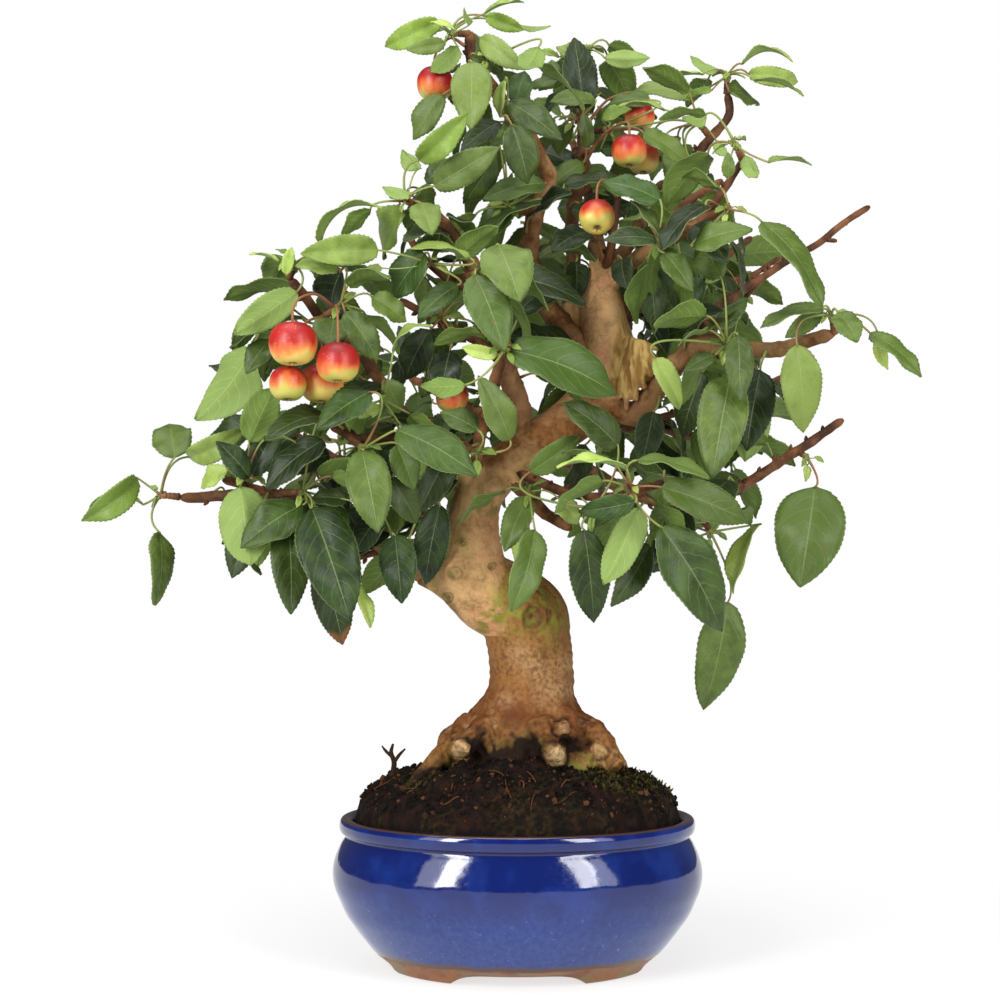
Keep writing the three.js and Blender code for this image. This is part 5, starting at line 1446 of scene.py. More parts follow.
SPRAYS = (
    SprayRow("left_tip", (170, 496, 6), (
        (137, 479, 81, 521, 11, 0.7, ARCHED), (143, 504, 86, 516, 7, 0.5, ARCHED),
        (175, 457, 170, 424, 24, 0.2), (189, 457, 248, 427, 10, 0.7, ARCHED),
        (159, 532, 155, 606, 10, 0.2))),
    SprayRow("left_low", (243, 477, -40), (
        (240, 487, 250, 566, 32, 0.7, PALE), (228, 470, 201, 488, 14, 0.8), (250, 478, 216, 441, 15, 0),
        (252, 476, 283, 421, 17, 0))),
    SprayRow("left_fan", (300, 492, -45), (
        (302, 505, 240, 548, 26, 0.05), (312, 508, 350, 620, 35, 0), (288, 520, 291, 615, 23, 0.1),
        (322, 560, 343, 645, 23, 0.05), (347, 500, 311, 498, 13, 0.1), (326, 503, 345, 541, 16, 0),
        (352, 583, 371, 628, 9, 0.9))),
    SprayRow("left_shade", (318, 462, 12), (
        (300, 452, 270, 496, 12, 0.2), (330, 455, 262, 470, 16, 0), (300, 425, 262, 447, 15, 0.1))),
    SprayRow("left_hand", (360, 446, -74), (
        (362, 450, 378, 533, 26, 0.35), (391, 478, 417, 524, 18, 0.2), (397, 445, 414, 490, 17, 0.1),
        (397, 430, 478, 476, 26, 0.05), (370, 392, 316, 430, 21, 0))),
    SprayRow("left_inner", (383, 398, -57), (
        (385, 381, 400, 413, 16, 0.2), (393, 352, 432, 326, 8, 0.5, ARCHED),
        (378, 405, 358, 418, 11, 0.5))),
    SprayRow("left_crown", (292, 270, -64), (
        (319, 243, 383, 208, 8, 0.6, ARCHED), (280, 262, 249, 254, 5, 1), (286, 275, 292, 247, 8, 1),
        (338, 270, 295, 266, 15, 0.6), (297, 292, 233, 335, 15, 0.5, PALE))),
    SprayRow("left_fruit", (337, 308, -66), (
        (334, 318, 329, 348, 23, 0.2), (345, 312, 378, 361, 19, 0.2), (372, 297, 406, 322, 17, 0.4),
        (341, 271, 333, 320, 31, 0))),
    SprayRow("left_side", (285, 300, -34), (
        (252, 352, 196, 421, 35, 0.6, PALE), (270, 340, 246, 374, 15, 0.2))),
    SprayRow("upper_left", (415, 203, -50), (
        (419, 160, 468, 113, 11, 0.8, ARCHED), (417, 170, 402, 150, 11, 0.6, PALE),
        (412, 195, 382, 187, 9, 0.6, PALE), (421, 203, 432, 235, 18, 0.3), (434, 186, 500, 147, 14, 0.2),
        (427, 184, 449, 158, 11, 0.1), (404, 212, 385, 258, 28, 0.6))),
    SprayRow("upper_left_low", (428, 262, -58), (
        (425, 253, 393, 299, 23, 0), (470, 258, 406, 250, 12, 0.6), (382, 268, 364, 273, 7, 0.6),
        (458, 285, 417, 319, 16, 0.05), (378, 250, 300, 254, 16, 0.6))),
    SprayRow("middle_left", (474, 274, -64), (
        (475, 275, 505, 352, 26, 0.1), (498, 245, 520, 302, 30, 0.25))),
    SprayRow("middle_high", (512, 208, -18), (
        (545, 183, 482, 200, 17, 0.1), (540, 200, 478, 238, 14, 0.1), (498, 150, 463, 204, 10, 0.2),
        (502, 154, 489, 186, 7, 0), (520, 200, 473, 245, 18, 0.05))),
    SprayRow("crown_left", (508, 122, -22), (
        (508, 101, 563, 141, 16, 0.1), (512, 125, 528, 184, 21, 0.15), (500, 122, 460, 152, 15, 0.05),
        (516, 103, 525, 71, 15, 0), (505, 80, 500, 118, 7, 0.6))),
    SprayRow("top", (469, 34, -8), (
        (440, 22, 385, 47, 10, 1, ARCHED), (440, 26, 411, 37, 7, 0.3), (445, 43, 406, 50, 6, 0.3),
        (455, 30, 430, 22, 6, 1), (458, 47, 431, 73, 14, 0.4, PALE), (472, 22, 464, 8, 9, 0.7, PALE),
        (484, 14, 524, 2, 7, 0.9), (485, 16, 524, 30, 6, 1), (508, 22, 551, 26, 8, 0.7, PALE))),
    SprayRow("top_low", (486, 62, -14), (
        (480, 38, 525, 70, 10, 0.4), (538, 48, 523, 70, 15, 0.4, PALE), (472, 55, 503, 72, 17, 0.05))),
    SprayRow("top_left", (478, 80, -10), (
        (472, 62, 471, 130, 24, 0.3), (443, 95, 413, 140, 18, 0.2))),
    SprayRow("crown_middle", (587, 62, 42), (
        (585, 62, 556, 47, 13, 0.7), (559, 57, 538, 52, 6, 0.8), (605, 58, 650, 58, 9, 0.7, PALE),
        (559, 80, 529, 88, 10, 0.3), (556, 78, 551, 60, 9, 0.2))),
    SprayRow("crown_middle_low", (579, 122, 28), (
        (595, 100, 549, 102, 13, 0.3), (588, 148, 583, 112, 9, 0.2), (583, 163, 546, 192, 14, 0.4))),
    SprayRow("crown_fruit", (603, 130, 30), (
        (602, 120, 632, 109, 10, 0.7), (650, 100, 608, 104, 13, 0.3), (665, 110, 618, 106, 8, 0.6),
        (643, 133, 690, 166, 16, 0.25), (600, 150, 620, 150, 14, 0))),
    SprayRow("right_crown", (727, 83, 56), (
        (717, 72, 690, 56, 8, 0.6, PALE), (703, 74, 660, 84, 5, 1), (742, 64, 793, 62, 7, 0.8, ARCHED),
        (748, 74, 798, 82, 9, 0.8, ARCHED), (755, 80, 804, 96, 7, 0.6), (730, 92, 757, 104, 19, 0.3),
        (712, 90, 686, 98, 7, 0.8), (693, 96, 634, 90, 15, 0.4))),
    SprayRow("right_crown_low", (706, 132, 48), (
        (706, 118, 682, 118, 11, 0.6, PALE), (716, 140, 726, 156, 8, 0.7, PALE),
        (668, 150, 680, 188, 13, 0.3), (690, 160, 693, 217, 14, 0.4))),
    SprayRow("right_fork", (742, 158, -60), (
        (728, 178, 728, 152, 8, 0.3), (745, 156, 757, 178, 11, 0.6, PALE), (768, 162, 812, 165, 7, 0.6))),
    SprayRow("right_inner", (662, 236, -58), (
        (663, 238, 630, 200, 10, 0.15), (657, 240, 603, 240, 14, 0.05), (664, 253, 693, 293, 15, 0.3),
        (660, 200, 602, 182, 19, 0))),
    SprayRow("right_arch", (725, 211, -62), (
        (762, 222, 823, 308, 22, 0.35), (693, 245, 753, 229, 19, 0.4))),
    SprayRow("right_shade", (700, 272, 44), (
        (672, 232, 690, 325, 30, 0), (632, 292, 655, 325, 13, 0.2, PALE), (695, 328, 645, 347, 15, 0))),
    SprayRow("right_middle", (746, 296, 22), (
        (700, 325, 748, 298, 24, 0.1), (722, 270, 705, 283, 7, 0.5, PALE))),
    SprayRow("right_end", (834, 328, -54), (
        (822, 308, 760, 328, 14, 0.15), (822, 312, 785, 338, 10, 0.3), (838, 313, 858, 342, 17, 0.4),
        (870, 333, 922, 377, 16, 0.4), (878, 336, 888, 370, 6, 0.9), (797, 345, 803, 433, 24, 0.4))),
    SprayRow("right_bough", (728, 345, -56), (
        (730, 375, 712, 478, 29, 0.25), (738, 335, 740, 402, 17, 0.2), (715, 355, 683, 372, 10, 0.2),
        (655, 358, 679, 410, 15, 0.6))),
    SprayRow("right_twig", (760, 392, 52), (
        (758, 392, 745, 462, 23, 0.7, PALE), (772, 382, 793, 405, 8, 0.1))),
    SprayRow("right_hanging", (802, 454, 34), (
        (815, 487, 800, 588, 41, 0.15),)),
    SprayRow("right_low", (708, 528, 32), (
        (758, 525, 733, 594, 10, 0.6), (728, 602, 703, 710, 26, 0.2))),
    SprayRow("front_right", (636, 488, -84), (
        (661, 527, 722, 632, 35, 0.05), (640, 508, 603, 585, 22, 0.7, PALE), (650, 545, 611, 607, 15, 0.1),
        (662, 487, 748, 522, 22, 0.3), (638, 460, 710, 478, 15, 0.15), (626, 468, 556, 467, 11, 1),
        (635, 502, 578, 512, 10, 0))),
    SprayRow("front_middle", (598, 505, -60), (
        (584, 530, 594, 623, 24, 0.05), (618, 446, 563, 402, 23, 0.15), (530, 472, 580, 435, 11, 0.4))),
    SprayRow("front_trunk", (533, 496, -50), (
        (528, 497, 504, 552, 17, 0.4), (528, 512, 530, 587, 7, 0.8), (535, 530, 511, 612, 17, 0.15),
        (560, 500, 578, 525, 14, 0.4))),
    SprayRow("front_high", (504, 350, -86), (
        (510, 350, 617, 395, 35, 0.05), (498, 355, 462, 347, 6, 1), (465, 385, 420, 386, 14, 0.2, PALE))),
    SprayRow("front_left", (474, 452, -74), (
        (510, 440, 478, 375, 19, 0.2), (478, 430, 440, 412, 15, 0.1))),
    SprayRow("low_bough", (408, 560, -26), (
        (395, 535, 402, 604, 22, 0), (440, 505, 425, 585, 21, 0), (380, 515, 355, 553, 17, 0))),
    SprayRow("inner_left", (440, 318, -38), (
        (430, 330, 405, 380, 21, 0), (450, 350, 440, 400, 20, 0))),
)


@dataclass(frozen=True)
class BackRow:
    """A spray behind the tree, whose leaves are spread by rule about the way it looks."""

    name: str
    spur: tuple[float, float, float]
    away: tuple[float, float, float]


BACK_SPRAYS = (
    BackRow("back_high_left", (516, 280, 124), (-0.35, 0.85, 0.4)),
    BackRow("back_high_right", (705, 286, 118), (0.5, 0.8, 0.3)),
    BackRow("back_crown", (573, 144, 98), (-0.1, 0.7, 0.7)),
    BackRow("back_left", (410, 377, 118), (-0.5, 0.8, 0.2)),
    BackRow("back_left_low", (364, 448, 97), (-0.7, 0.65, 0)),
    BackRow("back_right_low", (710, 442, 112), (0.6, 0.75, 0)),
    BackRow("back_middle", (585, 298, 70), (0.1, 0.6, 0.8)),
    BackRow("back_low", (468, 420, 76), (0.1, 0.9, -0.2)),
)
BACK_LEAVES = 5
BACK_SIZE = (17.0, 46.0)  # usual length of the stalk and of the blade

# Where the tree is dense: column, row, half width and half height on the grid.
DENSE_PLACES = (
    (365, 320, 120, 115), (330, 520, 95, 75), (500, 235, 85, 120), (440, 450, 80, 80),
    (650, 260, 90, 110), (650, 495, 100, 55), (480, 75, 65, 50), (620, 100, 80, 55),
    (590, 430, 60, 55), (720, 400, 50, 70), (270, 400, 60, 80),
)
# Wood that stays in sight, in the same terms and with its depth.
OPEN_WOOD = ((602, 335, 20, 68, 0), (638, 374, 22, 42, 0), (540, 435, 22, 38, 0), (482, 418, 24, 64, 0))
OPEN_MARGIN = 4.0
OPEN_TRUNK = (468, 545, 30, 62, 0)  # kept clear of the leaves inside
SHADE_STALKS = (13, 21, 30)
SHADE_LENGTH = 36.0
SHADE_TOP = 540.0
SHADE_BACK = 165.0
STALKS_APART = 3.0
DRY_TIPS = {(2, 3)}  # leaves with a dried tip: number of the spray and of the leaf in it

BASE_POWER = 0.6
TIP_POWER = 0.85
WIDEST = BASE_POWER / (BASE_POWER + TIP_POWER)
PETIOLE_RADIUS = 0.75
NATURAL_LENGTH = 1.5
NATURAL_WIDTH = 0.42
YOUNG_TONE = 0.5
FOLD_YOUNG = 0.38
FOLD_OLD = 0.16
WAVE = 0.16
SPUR_RADIUS = 1.7
SAMPLE_GAP = 4.5
VIEWER_LOOK = np.array([0.0, -0.85, 0.53])
UPWARD = np.array([0.0, 0.0, 1.0])


def blade_shape(t: Array) -> Array:
    """Return the half width along a leaf: base power times tip power, scaled to reach 1."""
    held = np.clip(t, 0.0, 1.0)
    peak = WIDEST**BASE_POWER * (1 - WIDEST) ** TIP_POWER
    return held**BASE_POWER * (1 - held) ** TIP_POWER / peak


@dataclass(frozen=True)
class Spur:
    """A short shoot from the wood, with the heart of its spray beyond its end."""

    foot: Array
    end: Array
    way: Array
    core: Array

    @classmethod
    def grow(cls, wood: Rods, place: tuple[float, float, float]) -> "Spur":
        """Grow a spur from the nearest wood towards a place on the grid."""
        aim = spot(*place)
        foot, radius, distance = wood.foot(aim)
        way = unit(aim - foot)
        end = foot + way * max(distance, radius + 4.0)
        return cls(foot, end, way, end + way * (SEAT_GAP + 3.5))


def spur_rods(spurs: Sequence[Spur]) -> Rods:
    """Return the spurs as rods."""
    radius = np.full(len(spurs), SPUR_RADIUS)
    feet, ends = (np.array(part) for part in zip(*((spur.foot, spur.end) for spur in spurs)))
    return Rods(feet, ends, radius, radius)


@dataclass(frozen=True)
class Leaf:
    """A leaf by its blade's base, its axes and its bends."""

    base: Array
    along: Array
    normal: Array
    across: Array
    length: float
    width: float
    bow: float
    fold: float
    phase: float
    spur: Spur
    tone: float

    @classmethod
    def between(
        cls, base: Array, tip: Array, width: float, look: Array, roll: float, bow: float, fold: float,
        phase: float, spur: Spur, tone: float,
    ) -> "Leaf":
        """Lay a leaf from base to tip.

        Args:
            base: where the blade starts.
            tip: where it ends.
            width: its full width, in mm.
            look: the way that its face turns to.
            roll: the angle that it is then rolled by about its rib.
            bow: the height of its bow, as a share of its length.
            fold: the angle that each half is raised by.
            phase: shifts the wave of its margin.
            spur: the spur that it grows from.
            tone: from 0, old and dark, to 1.

        Returns:
            The leaf.
        """
        length = float(np.linalg.norm(tip - base))
        along = (tip - base) / length
        face = unit(look - along * (look @ along))
        normal = face * math.cos(roll) + np.cross(along, face) * math.sin(roll)
        return cls(base, along, normal, np.cross(along, normal), length, width, bow, fold, phase, spur, tone)

    def rib(self, t: Array | float) -> Array:
        """Return the rib's direction: along, plus the slope of the bow."""
        rise = 4 * self.bow * (1 - 2 * np.asarray(t, dtype=float))
        return unit(self.along + self.normal * rise[..., None])

    def surface(self, t: Array | float, s: Array | float, lift: Array | float = 0.0) -> Array:
        """Place points of the blade.

        Formula: along by t, bowed by four t times one less t, across by the half width times s,
        and raised by the fold, by a wave along the margin and by lift.

        Args:
            t: from 0 at the base to 1 at the tip.
            s: from -1 to 1 across the blade.
            lift: mm off the blade's middle layer.

        Returns:
            The points, in mm.
        """
        t, s, lift = np.broadcast_arrays(t, s, lift)
        half = self.width / 2 * blade_shape(t)
        up = np.cross(self.across, self.rib(t))
        wave = WAVE * half * s * np.sin(TAU * (1.3 * t + self.phase))
        rise = np.abs(s) * half * math.sin(self.fold) + wave + lift
        return (
            self.base
            + self.along * (self.length * t)[..., None]
            + self.normal * (self.length * self.bow * 4 * t * (1 - t))[..., None]
            + self.across * (s * half * math.cos(self.fold))[..., None]
            + up * rise[..., None]
        )

    def reach(self) -> float:
        """Return the distance from the spur's heart to the blade's base."""
        return float(np.linalg.norm(self.spur.core - self.base))

    def stalk(self, u: Array) -> Array:
        """Place points of the stalk: one bend from the spur's heart to the blade's base."""
        bend = self.base - self.rib(0.0) * (0.4 * self.reach()) + self.spur.way * (0.2 * self.reach() + 3)
        u = np.asarray(u, dtype=float)[..., None]
        return self.spur.core * (1 - u) ** 2 + bend * (2 * u * (1 - u)) + self.base * u**2

    def samples(self) -> Array:
        """Spread points over the blade and along the stalk."""
        rows = math.ceil(self.length / SAMPLE_GAP) + 1
        columns = math.ceil(self.width / SAMPLE_GAP) + 1
        steps = math.ceil(self.reach() / SAMPLE_GAP) + 1
        t = 0.02 + 0.98 * np.arange(rows) / (rows - 1)
        s = -1 + 2 * np.arange(columns) / (columns - 1)
        blade = self.surface(t[:, None], s).reshape(-1, 3)
        return np.concatenate([blade, self.stalk(np.arange(1, steps) / steps)])


@dataclass
class Placed:
    """A leaf with its sampled points, those away from its spur, and the ball round them."""

    leaf: Leaf
    points: Array
    free: Array
    middle: Array
    radius: float


@dataclass
class Clearing:
    """Finds each leaf a place where it touches nothing.

    Attributes:
        rods: the wood, the spurs and the apples' stalks.
        balls: middles of the apples, with their radii.
        spurs: every spur.
        placed: the leaves that have settled.
    """

    rods: Rods
    balls: Array
    spurs: list[Spur]
    placed: list[Placed] = field(default_factory=list)
    blade_gap: float = 4.4
    wood_gap: float = 1.6
    heart_gap: float = 5.0
    heart_reach: float = 9.0
    shifts: tuple[int, ...] = (0, -4, 4, -8, 8, -12, 12, -16, 16, -20, 20, -25, 25, -30, 30, -36, 36, -42)
    leans: tuple[float, ...] = (1, -1, 0.3)
    allowed: Callable[[Leaf], bool] | None = None
    enough: float = 0.0

    def room(self, mine: Placed) -> float:
        """Measure how far a leaf is from the nearest thing, less what it needs.

        Args:
            mine: the leaf with its points.

        Returns:
            The room that is left, in mm, below zero where it is too near.
        """
        rooms = [math.inf]
        _, _, reach = self.rods.nearest(mine.middle[None])
        thick = np.maximum(self.rods.start_radius, self.rods.end_radius)
        near = reach[0] - thick < mine.radius + self.wood_gap + self.enough
        if near.any() and len(mine.free):
            _, rod_radius, distance = self.rods.some(near).nearest(mine.free)
            rooms.append(float((distance - rod_radius).min()) - self.wood_gap)
        away = np.linalg.norm(mine.points[:, None] - self.balls[:, :3], axis=-1) - self.balls[:, 3]
        rooms.append(float(away.min()) - self.wood_gap)
        hearts = np.array([spur.core for spur in self.spurs if spur is not mine.leaf.spur])
        away = np.linalg.norm(mine.points[:, None] - hearts, axis=-1)
        rooms.append(float(away.min()) - self.heart_gap)
        for other in self.placed:
            if np.linalg.norm(other.middle - mine.middle) > other.radius + mine.radius + self.blade_gap:
                continue
            same = other.leaf.spur is mine.leaf.spur
            a, b = (mine.free, other.free) if same else (mine.points, other.points)
            if len(a) and len(b):
                squares = (a**2).sum(1)[:, None] + (b**2).sum(1) - 2 * a @ b.T
                rooms.append(math.sqrt(max(float(squares.min()), 0.0)) - self.blade_gap)
        return min(rooms)

    def sampled(self, leaf: Leaf) -> Placed:
        """Sample a leaf and put a ball round the samples."""
        points = leaf.samples()
        middle = points.mean(axis=0)
        radius = float(np.linalg.norm(points - middle, axis=1).max())
        free = points[np.linalg.norm(points - leaf.spur.core, axis=1) > self.heart_reach]
        return Placed(leaf, points, free, middle, radius)

    def settle(self, tries: Callable[[float, float], Leaf], must: bool = True) -> list[Leaf]:
        """Take the first try that is clear of everything, or else the clearest.

        Args:
            tries: makes the leaf for a shift and a lean.
            must: keep the clearest try where none is clear.

        Returns:
            The leaf alone, or nothing where it found no room and needn't stay.
        """
        best, room = None, -math.inf
        for shift, lean in ((shift, lean) for shift in self.shifts for lean in self.leans):
            leaf = tries(shift, lean)
            if self.allowed is not None and not self.allowed(leaf):
                continue
            candidate = self.sampled(leaf)
            clear = self.room(candidate)
            if clear > room:
                best, room = candidate, clear
            if clear >= self.enough:
                break
        if best is None or (room < self.enough and not must):
            return []
        self.placed.append(best)
        return [best.leaf]


def front_leaf(row: Sequence[float | Form], count: int, spur: Spur, shift: float, lean: float) -> Leaf:
    """Lay out a leaf that is listed by its place on the front grid.

    Formula: what a leaf of natural length lacks on the grid it reaches in depth, and what a
    blade of natural width lacks it is rolled by.

    Args:
        row: the leaf as its spray lists it.
        count: a number that sets its depth, roll and wave.
        spur: its spur.
        shift: mm to move it back.
        lean: how much of its reach in depth it takes, and which way.

    Returns:
        The leaf.
    """
    base_column, base_row, tip_column, tip_row, middle_width, tone, form = (*row, Form.FLAT)[:7]
    depth = float(spur.core[1]) - 3 - 8 * share(count) + shift
    seen_width = middle_width * grid_step(depth) / grid_step(0.0)
    base = spot(base_column, base_row, depth)
    seen = float(np.linalg.norm(spot(tip_column, tip_row, depth) - base))
    natural = max(1.04 * seen, NATURAL_LENGTH * seen_width)
    toward = 1 if count % 3 == 2 else -1
    tip_depth = depth + min(math.sqrt(natural * natural - seen * seen), 30.0) * toward * lean
    width = max(seen_width, NATURAL_WIDTH * natural)
    look = VIEWER_LOOK * (-1 if form is PALE else 1)
    roll = math.acos(seen_width / width) * (1 if count % 2 else -1) * 0.9
    fold = FOLD_YOUNG if tone > YOUNG_TONE else FOLD_OLD
    tip = spot(tip_column, tip_row, tip_depth)
    return Leaf.between(base, tip, width, look, roll, form.value, fold, float(share(3 * count)), spur, tone)


def spread_leaf(away: Array, count: int, spur: Spur, size: tuple[float, float], tone: float,
                shift: float, lean: float) -> Leaf:
    """Lay out a leaf by rule, fanned about the way that its spray looks.

    Formula: the stalk leaves at a golden share of a turn round the outward way, and the blade
    droops from its end.

    Args:
        away: the way the spray looks.
        count: the leaf's number, which sets its angle, length and roll.
        spur: the spur.
        size: the usual length of the stalk and of the blade, in mm.
        tone: the leaf's tone.
        shift: turns the leaf about the outward way.
        lean: tips it up or down.

    Returns:
        The leaf.
    """
    outward = unit(away)
    aside = unit(np.cross(outward, UPWARD))
    above = np.cross(aside, outward)
    angle = TAU * share(count) + 0.05 * shift
    way = unit(outward * 0.55 + aside * math.cos(angle) + above * (0.8 * math.sin(angle) * lean))
    base = spur.core + way * (size[0] + 0.47 * size[0] * share(2 * count))
    length = size[1] * (0.72 + 0.5 * float(share(5 * count)))
    tip = base + unit(way + (0.0, 0.15, -0.75)) * length
    look, roll = unit(outward + 0.9 * UPWARD), 0.5 * (float(share(7 * count)) - 0.5)
    phase = float(share(3 * count))
    return Leaf.between(base, tip, 0.52 * length, look, roll, Form.FLAT.value, FOLD_OLD, phase, spur, tone)


@dataclass(frozen=True)
class Foliage:
    """Dark toothed leaves with sunken veins, paler below, and bright young ones."""

    old: Colour = tint(14, 30, 3)
    old_light: Colour = tint(46, 72, 11)
    young: Colour = tint(114, 142, 48)
    young_light: Colour = tint(162, 182, 88)
    vein: Colour = tint(138, 152, 100)
    under: Colour = tint(84, 108, 36)
    under_young: Colour = tint(134, 156, 86)
    stalk: Colour = tint(122, 134, 66)
    stalk_red: Colour = tint(128, 88, 56)
    brown: Colour = tint(112, 72, 38)

    def material(self) -> bpy.types.Material:
        """Build the material from each leaf's numbers.

        t runs along the blade and s across it; the veins are a zigzag along t less a slant of s.
        """
        paint = Paint("crabapple_leaf")
        t, s, tone, under, stalk, seed, dry = map(
            paint.attribute, ("t", "s", "tone", "under", "stalk", "seed", "dry"))
        aside = abs(s)
        wander = paint.noise(150.0, 2.0) * 0.09 + t - paint.math("POWER", aside, 1.5) * 0.3
        vein = paint.math("PINGPONG", wander * 7.0, 0.5).band(0.02, 0.09, 1.0, 0.0)
        rib = aside.band(0.01, 0.04, 1.0, 0.0)
        lines = (vein * 0.6).most(rib)
        net = paint.cells(560.0)
        patch = paint.noise(130.0, 3.0)
        light = patch * 0.9 + seed * 0.75
        old = paint.mix(light.band(0.5, 1.15), self.old, self.old_light)
        young = paint.mix(light.band(0.5, 1.1), self.young, self.young_light)
        upper = paint.mix(tone, old, young).coat(vein * 0.1, self.vein).coat(rib * 0.36, self.vein)
        upper = upper.coat(aside.band(0.93, 1.0, 0.0, 0.42), self.vein)
        upper = upper.coat(net.band(0.0, 0.3, 0.25, 0.0), self.old)
        below = paint.mix(tone, self.under, self.under_young).coat(lines * 0.4, self.young_light)
        rust = paint.cells(46.0).band(0.03, 0.07, 0.75, 0.0) * paint.noise(24.0, 1.0).band(0.58, 0.62)
        reddish = paint.mix(paint.noise(50.0, 2.0).band(0.5, 0.66), self.stalk, self.stalk_red)
        colour = upper.coat(under, below).coat(rust, self.brown).coat(stalk, reddish).coat(dry, self.brown)
        paint.bump((1.0 - lines) * (1.0 - stalk), 0.0004, 0.4)
        paint.bump(net, 0.0003, 0.25)
        rough = patch.band(0.3, 0.7, 0.4, 0.52) + under * 0.28
        return paint.done(colour, rough, Specular_IOR_Level=0.36, Sheen_Weight=0.04, Sheen_Roughness=0.4)


@dataclass
class Canopy:
    """Every spray of leaves, each one piece on its spur."""

    wood: Rods
    balls: Array
    stalk_rods: Rods
    spurs: list[Spur]
    half_thick: float = 0.2
    side_veins: float = 3.5
    tooth_pitch: float = 2.5
    fill_stalks: tuple[float, ...] = (12.0, 15.0, 19.0)
    inner_gap: float = 10.0
    inner_pieces: int = 8
    young_leaves: int = 3

    def __post_init__(self) -> None:
        """Set up the clearing, and stricter ones for the shaded leaves."""
        self.rows: list[SprayRow | BackRow] = [*SPRAYS, *BACK_SPRAYS]
        rods = self.wood.join(spur_rods(self.spurs)).join(self.stalk_rods)
        self.clearing = Clearing(rods, self.balls, self.spurs)
        self.shade = replace(
            self.clearing, shifts=(0, 19, -19, 38, -38, 57), leans=(1, -1), allowed=self.may_shade, enough=1.0
        )
        self.inner = replace(self.shade, blade_gap=2.6, wood_gap=1.0, enough=0.0)
        self.open_places = np.array([*OPEN_WOOD, *self.apple_places()], dtype=float)

    def apple_places(self) -> list[tuple[float, ...]]:
        """Return the place of each apple on the grid, with a margin round it, and its depth."""
        reach = [apple.radius / float(grid_step(apple.at[2])) + OPEN_MARGIN for apple in APPLES]
        return [(*apple.at[:2], seen, seen, apple.at[2]) for apple, seen in zip(APPLES, reach)]

    def may_shade(self, leaf: Leaf) -> bool:
        """Say whether a shaded leaf may stay: inside the tree, and in front of no apple or bare wood."""
        column, row = seen_at(leaf.surface(0.5, 0.0))
        if not any(((column - c) / a) ** 2 + ((row - r) / b) ** 2 < 1 for c, r, a, b in DENSE_PLACES):
            return False
        t, s = np.meshgrid([0.1, 0.3, 0.5, 0.7, 0.9], [-0.8, 0.0, 0.8])
        points = leaf.surface(t.ravel(), s.ravel())
        if (points[:, 2] > SHADE_TOP).any() or (points[:, 1] > SHADE_BACK).any():
            return False
        column, row = (part[:, None] for part in seen_at(points))
        c, r, a, b, depth = self.open_places.T
        if ((((column - c) / a) ** 2 + ((row - r) / b) ** 2 < 1) & (points[:, 1:2] < depth)).any():
            return False
        _, _, distance = self.stalk_rods.nearest(leaf.stalk(np.arange(12) / 11))
        return bool((distance > STALKS_APART).all())

    def packed_leaves(self) -> list[list[Leaf]]:
        """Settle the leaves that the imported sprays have, in their order."""
        sprays = []
        for index, (row, spur) in enumerate(zip(self.rows, self.spurs)):
            if isinstance(row, SprayRow):
                tries = [partial(front_leaf, leaf, i + index, spur) for i, leaf in enumerate(row.leaves)]
            else:
                tries = [partial(spread_leaf, np.array(row.away), i + 3 * index, spur, BACK_SIZE, 0.2)
                         for i in range(BACK_LEAVES)]
            sprays.append([leaf for each in tries for leaf in self.clearing.settle(each)])
        for index, spur in enumerate(self.spurs):
            sprays[index].extend(self.shaded(self.shade, spur, 5 * index, SHADE_STALKS, SHADE_LENGTH))
        return sprays

    def shaded(
        self, clearing: Clearing, spur: Spur, first: int, stalks: Sequence[float], length: float
    ) -> list[Leaf]:
        """Add shaded leaves round a spur, where they find room.

        Args:
            clearing: what they keep clear of.
            spur: the spur.
            first: the first leaf's number.
            stalks: the length of each leaf's stalk, in mm.
            length: the usual length of the blades.

        Returns:
            The leaves that found room.
        """
        inward = unit(np.array([0.0, 0.55, 0.1]) + 0.5 * spur.way)
        found = []
        for n, stalk in enumerate(stalks, first):
            # Painted shade with older leaves: a shaded leaf's tone stays low, dark green.
            tone = 0.08 + 0.16 * float(share(n))
            found += clearing.settle(partial(spread_leaf, inward, n, spur, (stalk, length), tone), must=False)
        return found

    def inner_leaves(self) -> list[Leaf]:
        """Fill the inside of the canopy with shaded leaves, from the boughs themselves.

        Formula: at even steps along each bough a leaf stands out at a golden share of a turn,
        and it stays where it is clear and its middle lies in one of the dense places.

        Returns:
            The leaves that found room.
        """
        found = []
        count = 0
        for bough in BOUGHS:
            curve = smooth_curve(bough.knots(), self.inner_gap)
            for foot, along, across, up in list(zip(curve, *path_frames(curve[:, :3])))[1:]:
                count += 1
                angle = TAU * float(share(count))
                out = math.cos(angle) * across + math.sin(angle) * up
                heart = foot[:3] + out * (foot[3] + 0.5)
                spur = Spur(foot[:3], heart, out, heart)
                # Painted shade with older leaves: a leaf inside the canopy gets a tone near 0, dark green.
                away, tone = out + 0.3 * along + 0.001, 0.1 * float(share(3 * count))
                found += self.inner.settle(
                    lambda shift, lean: spread_leaf(away, count, spur, (9.0, 38.0), tone, 1.4 * shift, lean),
                    must=False,
                )
        return found

    def more_leaves(self, index: int) -> list[Leaf]:
        """Add small shaded leaves round a spur, where they find room, and young ones at its heart."""
        spur = self.spurs[index]
        found = self.shaded(self.inner, spur, 7 * index + 3, self.fill_stalks, 32.0)
        for n in range(7 * index, 7 * index + self.young_leaves):
            tone = 0.55 + 0.4 * float(share(n))
            found.append(spread_leaf(spur.way + 0.001, n, spur, (3.2, 8.5), tone, 0.0, 1.0))
        return found

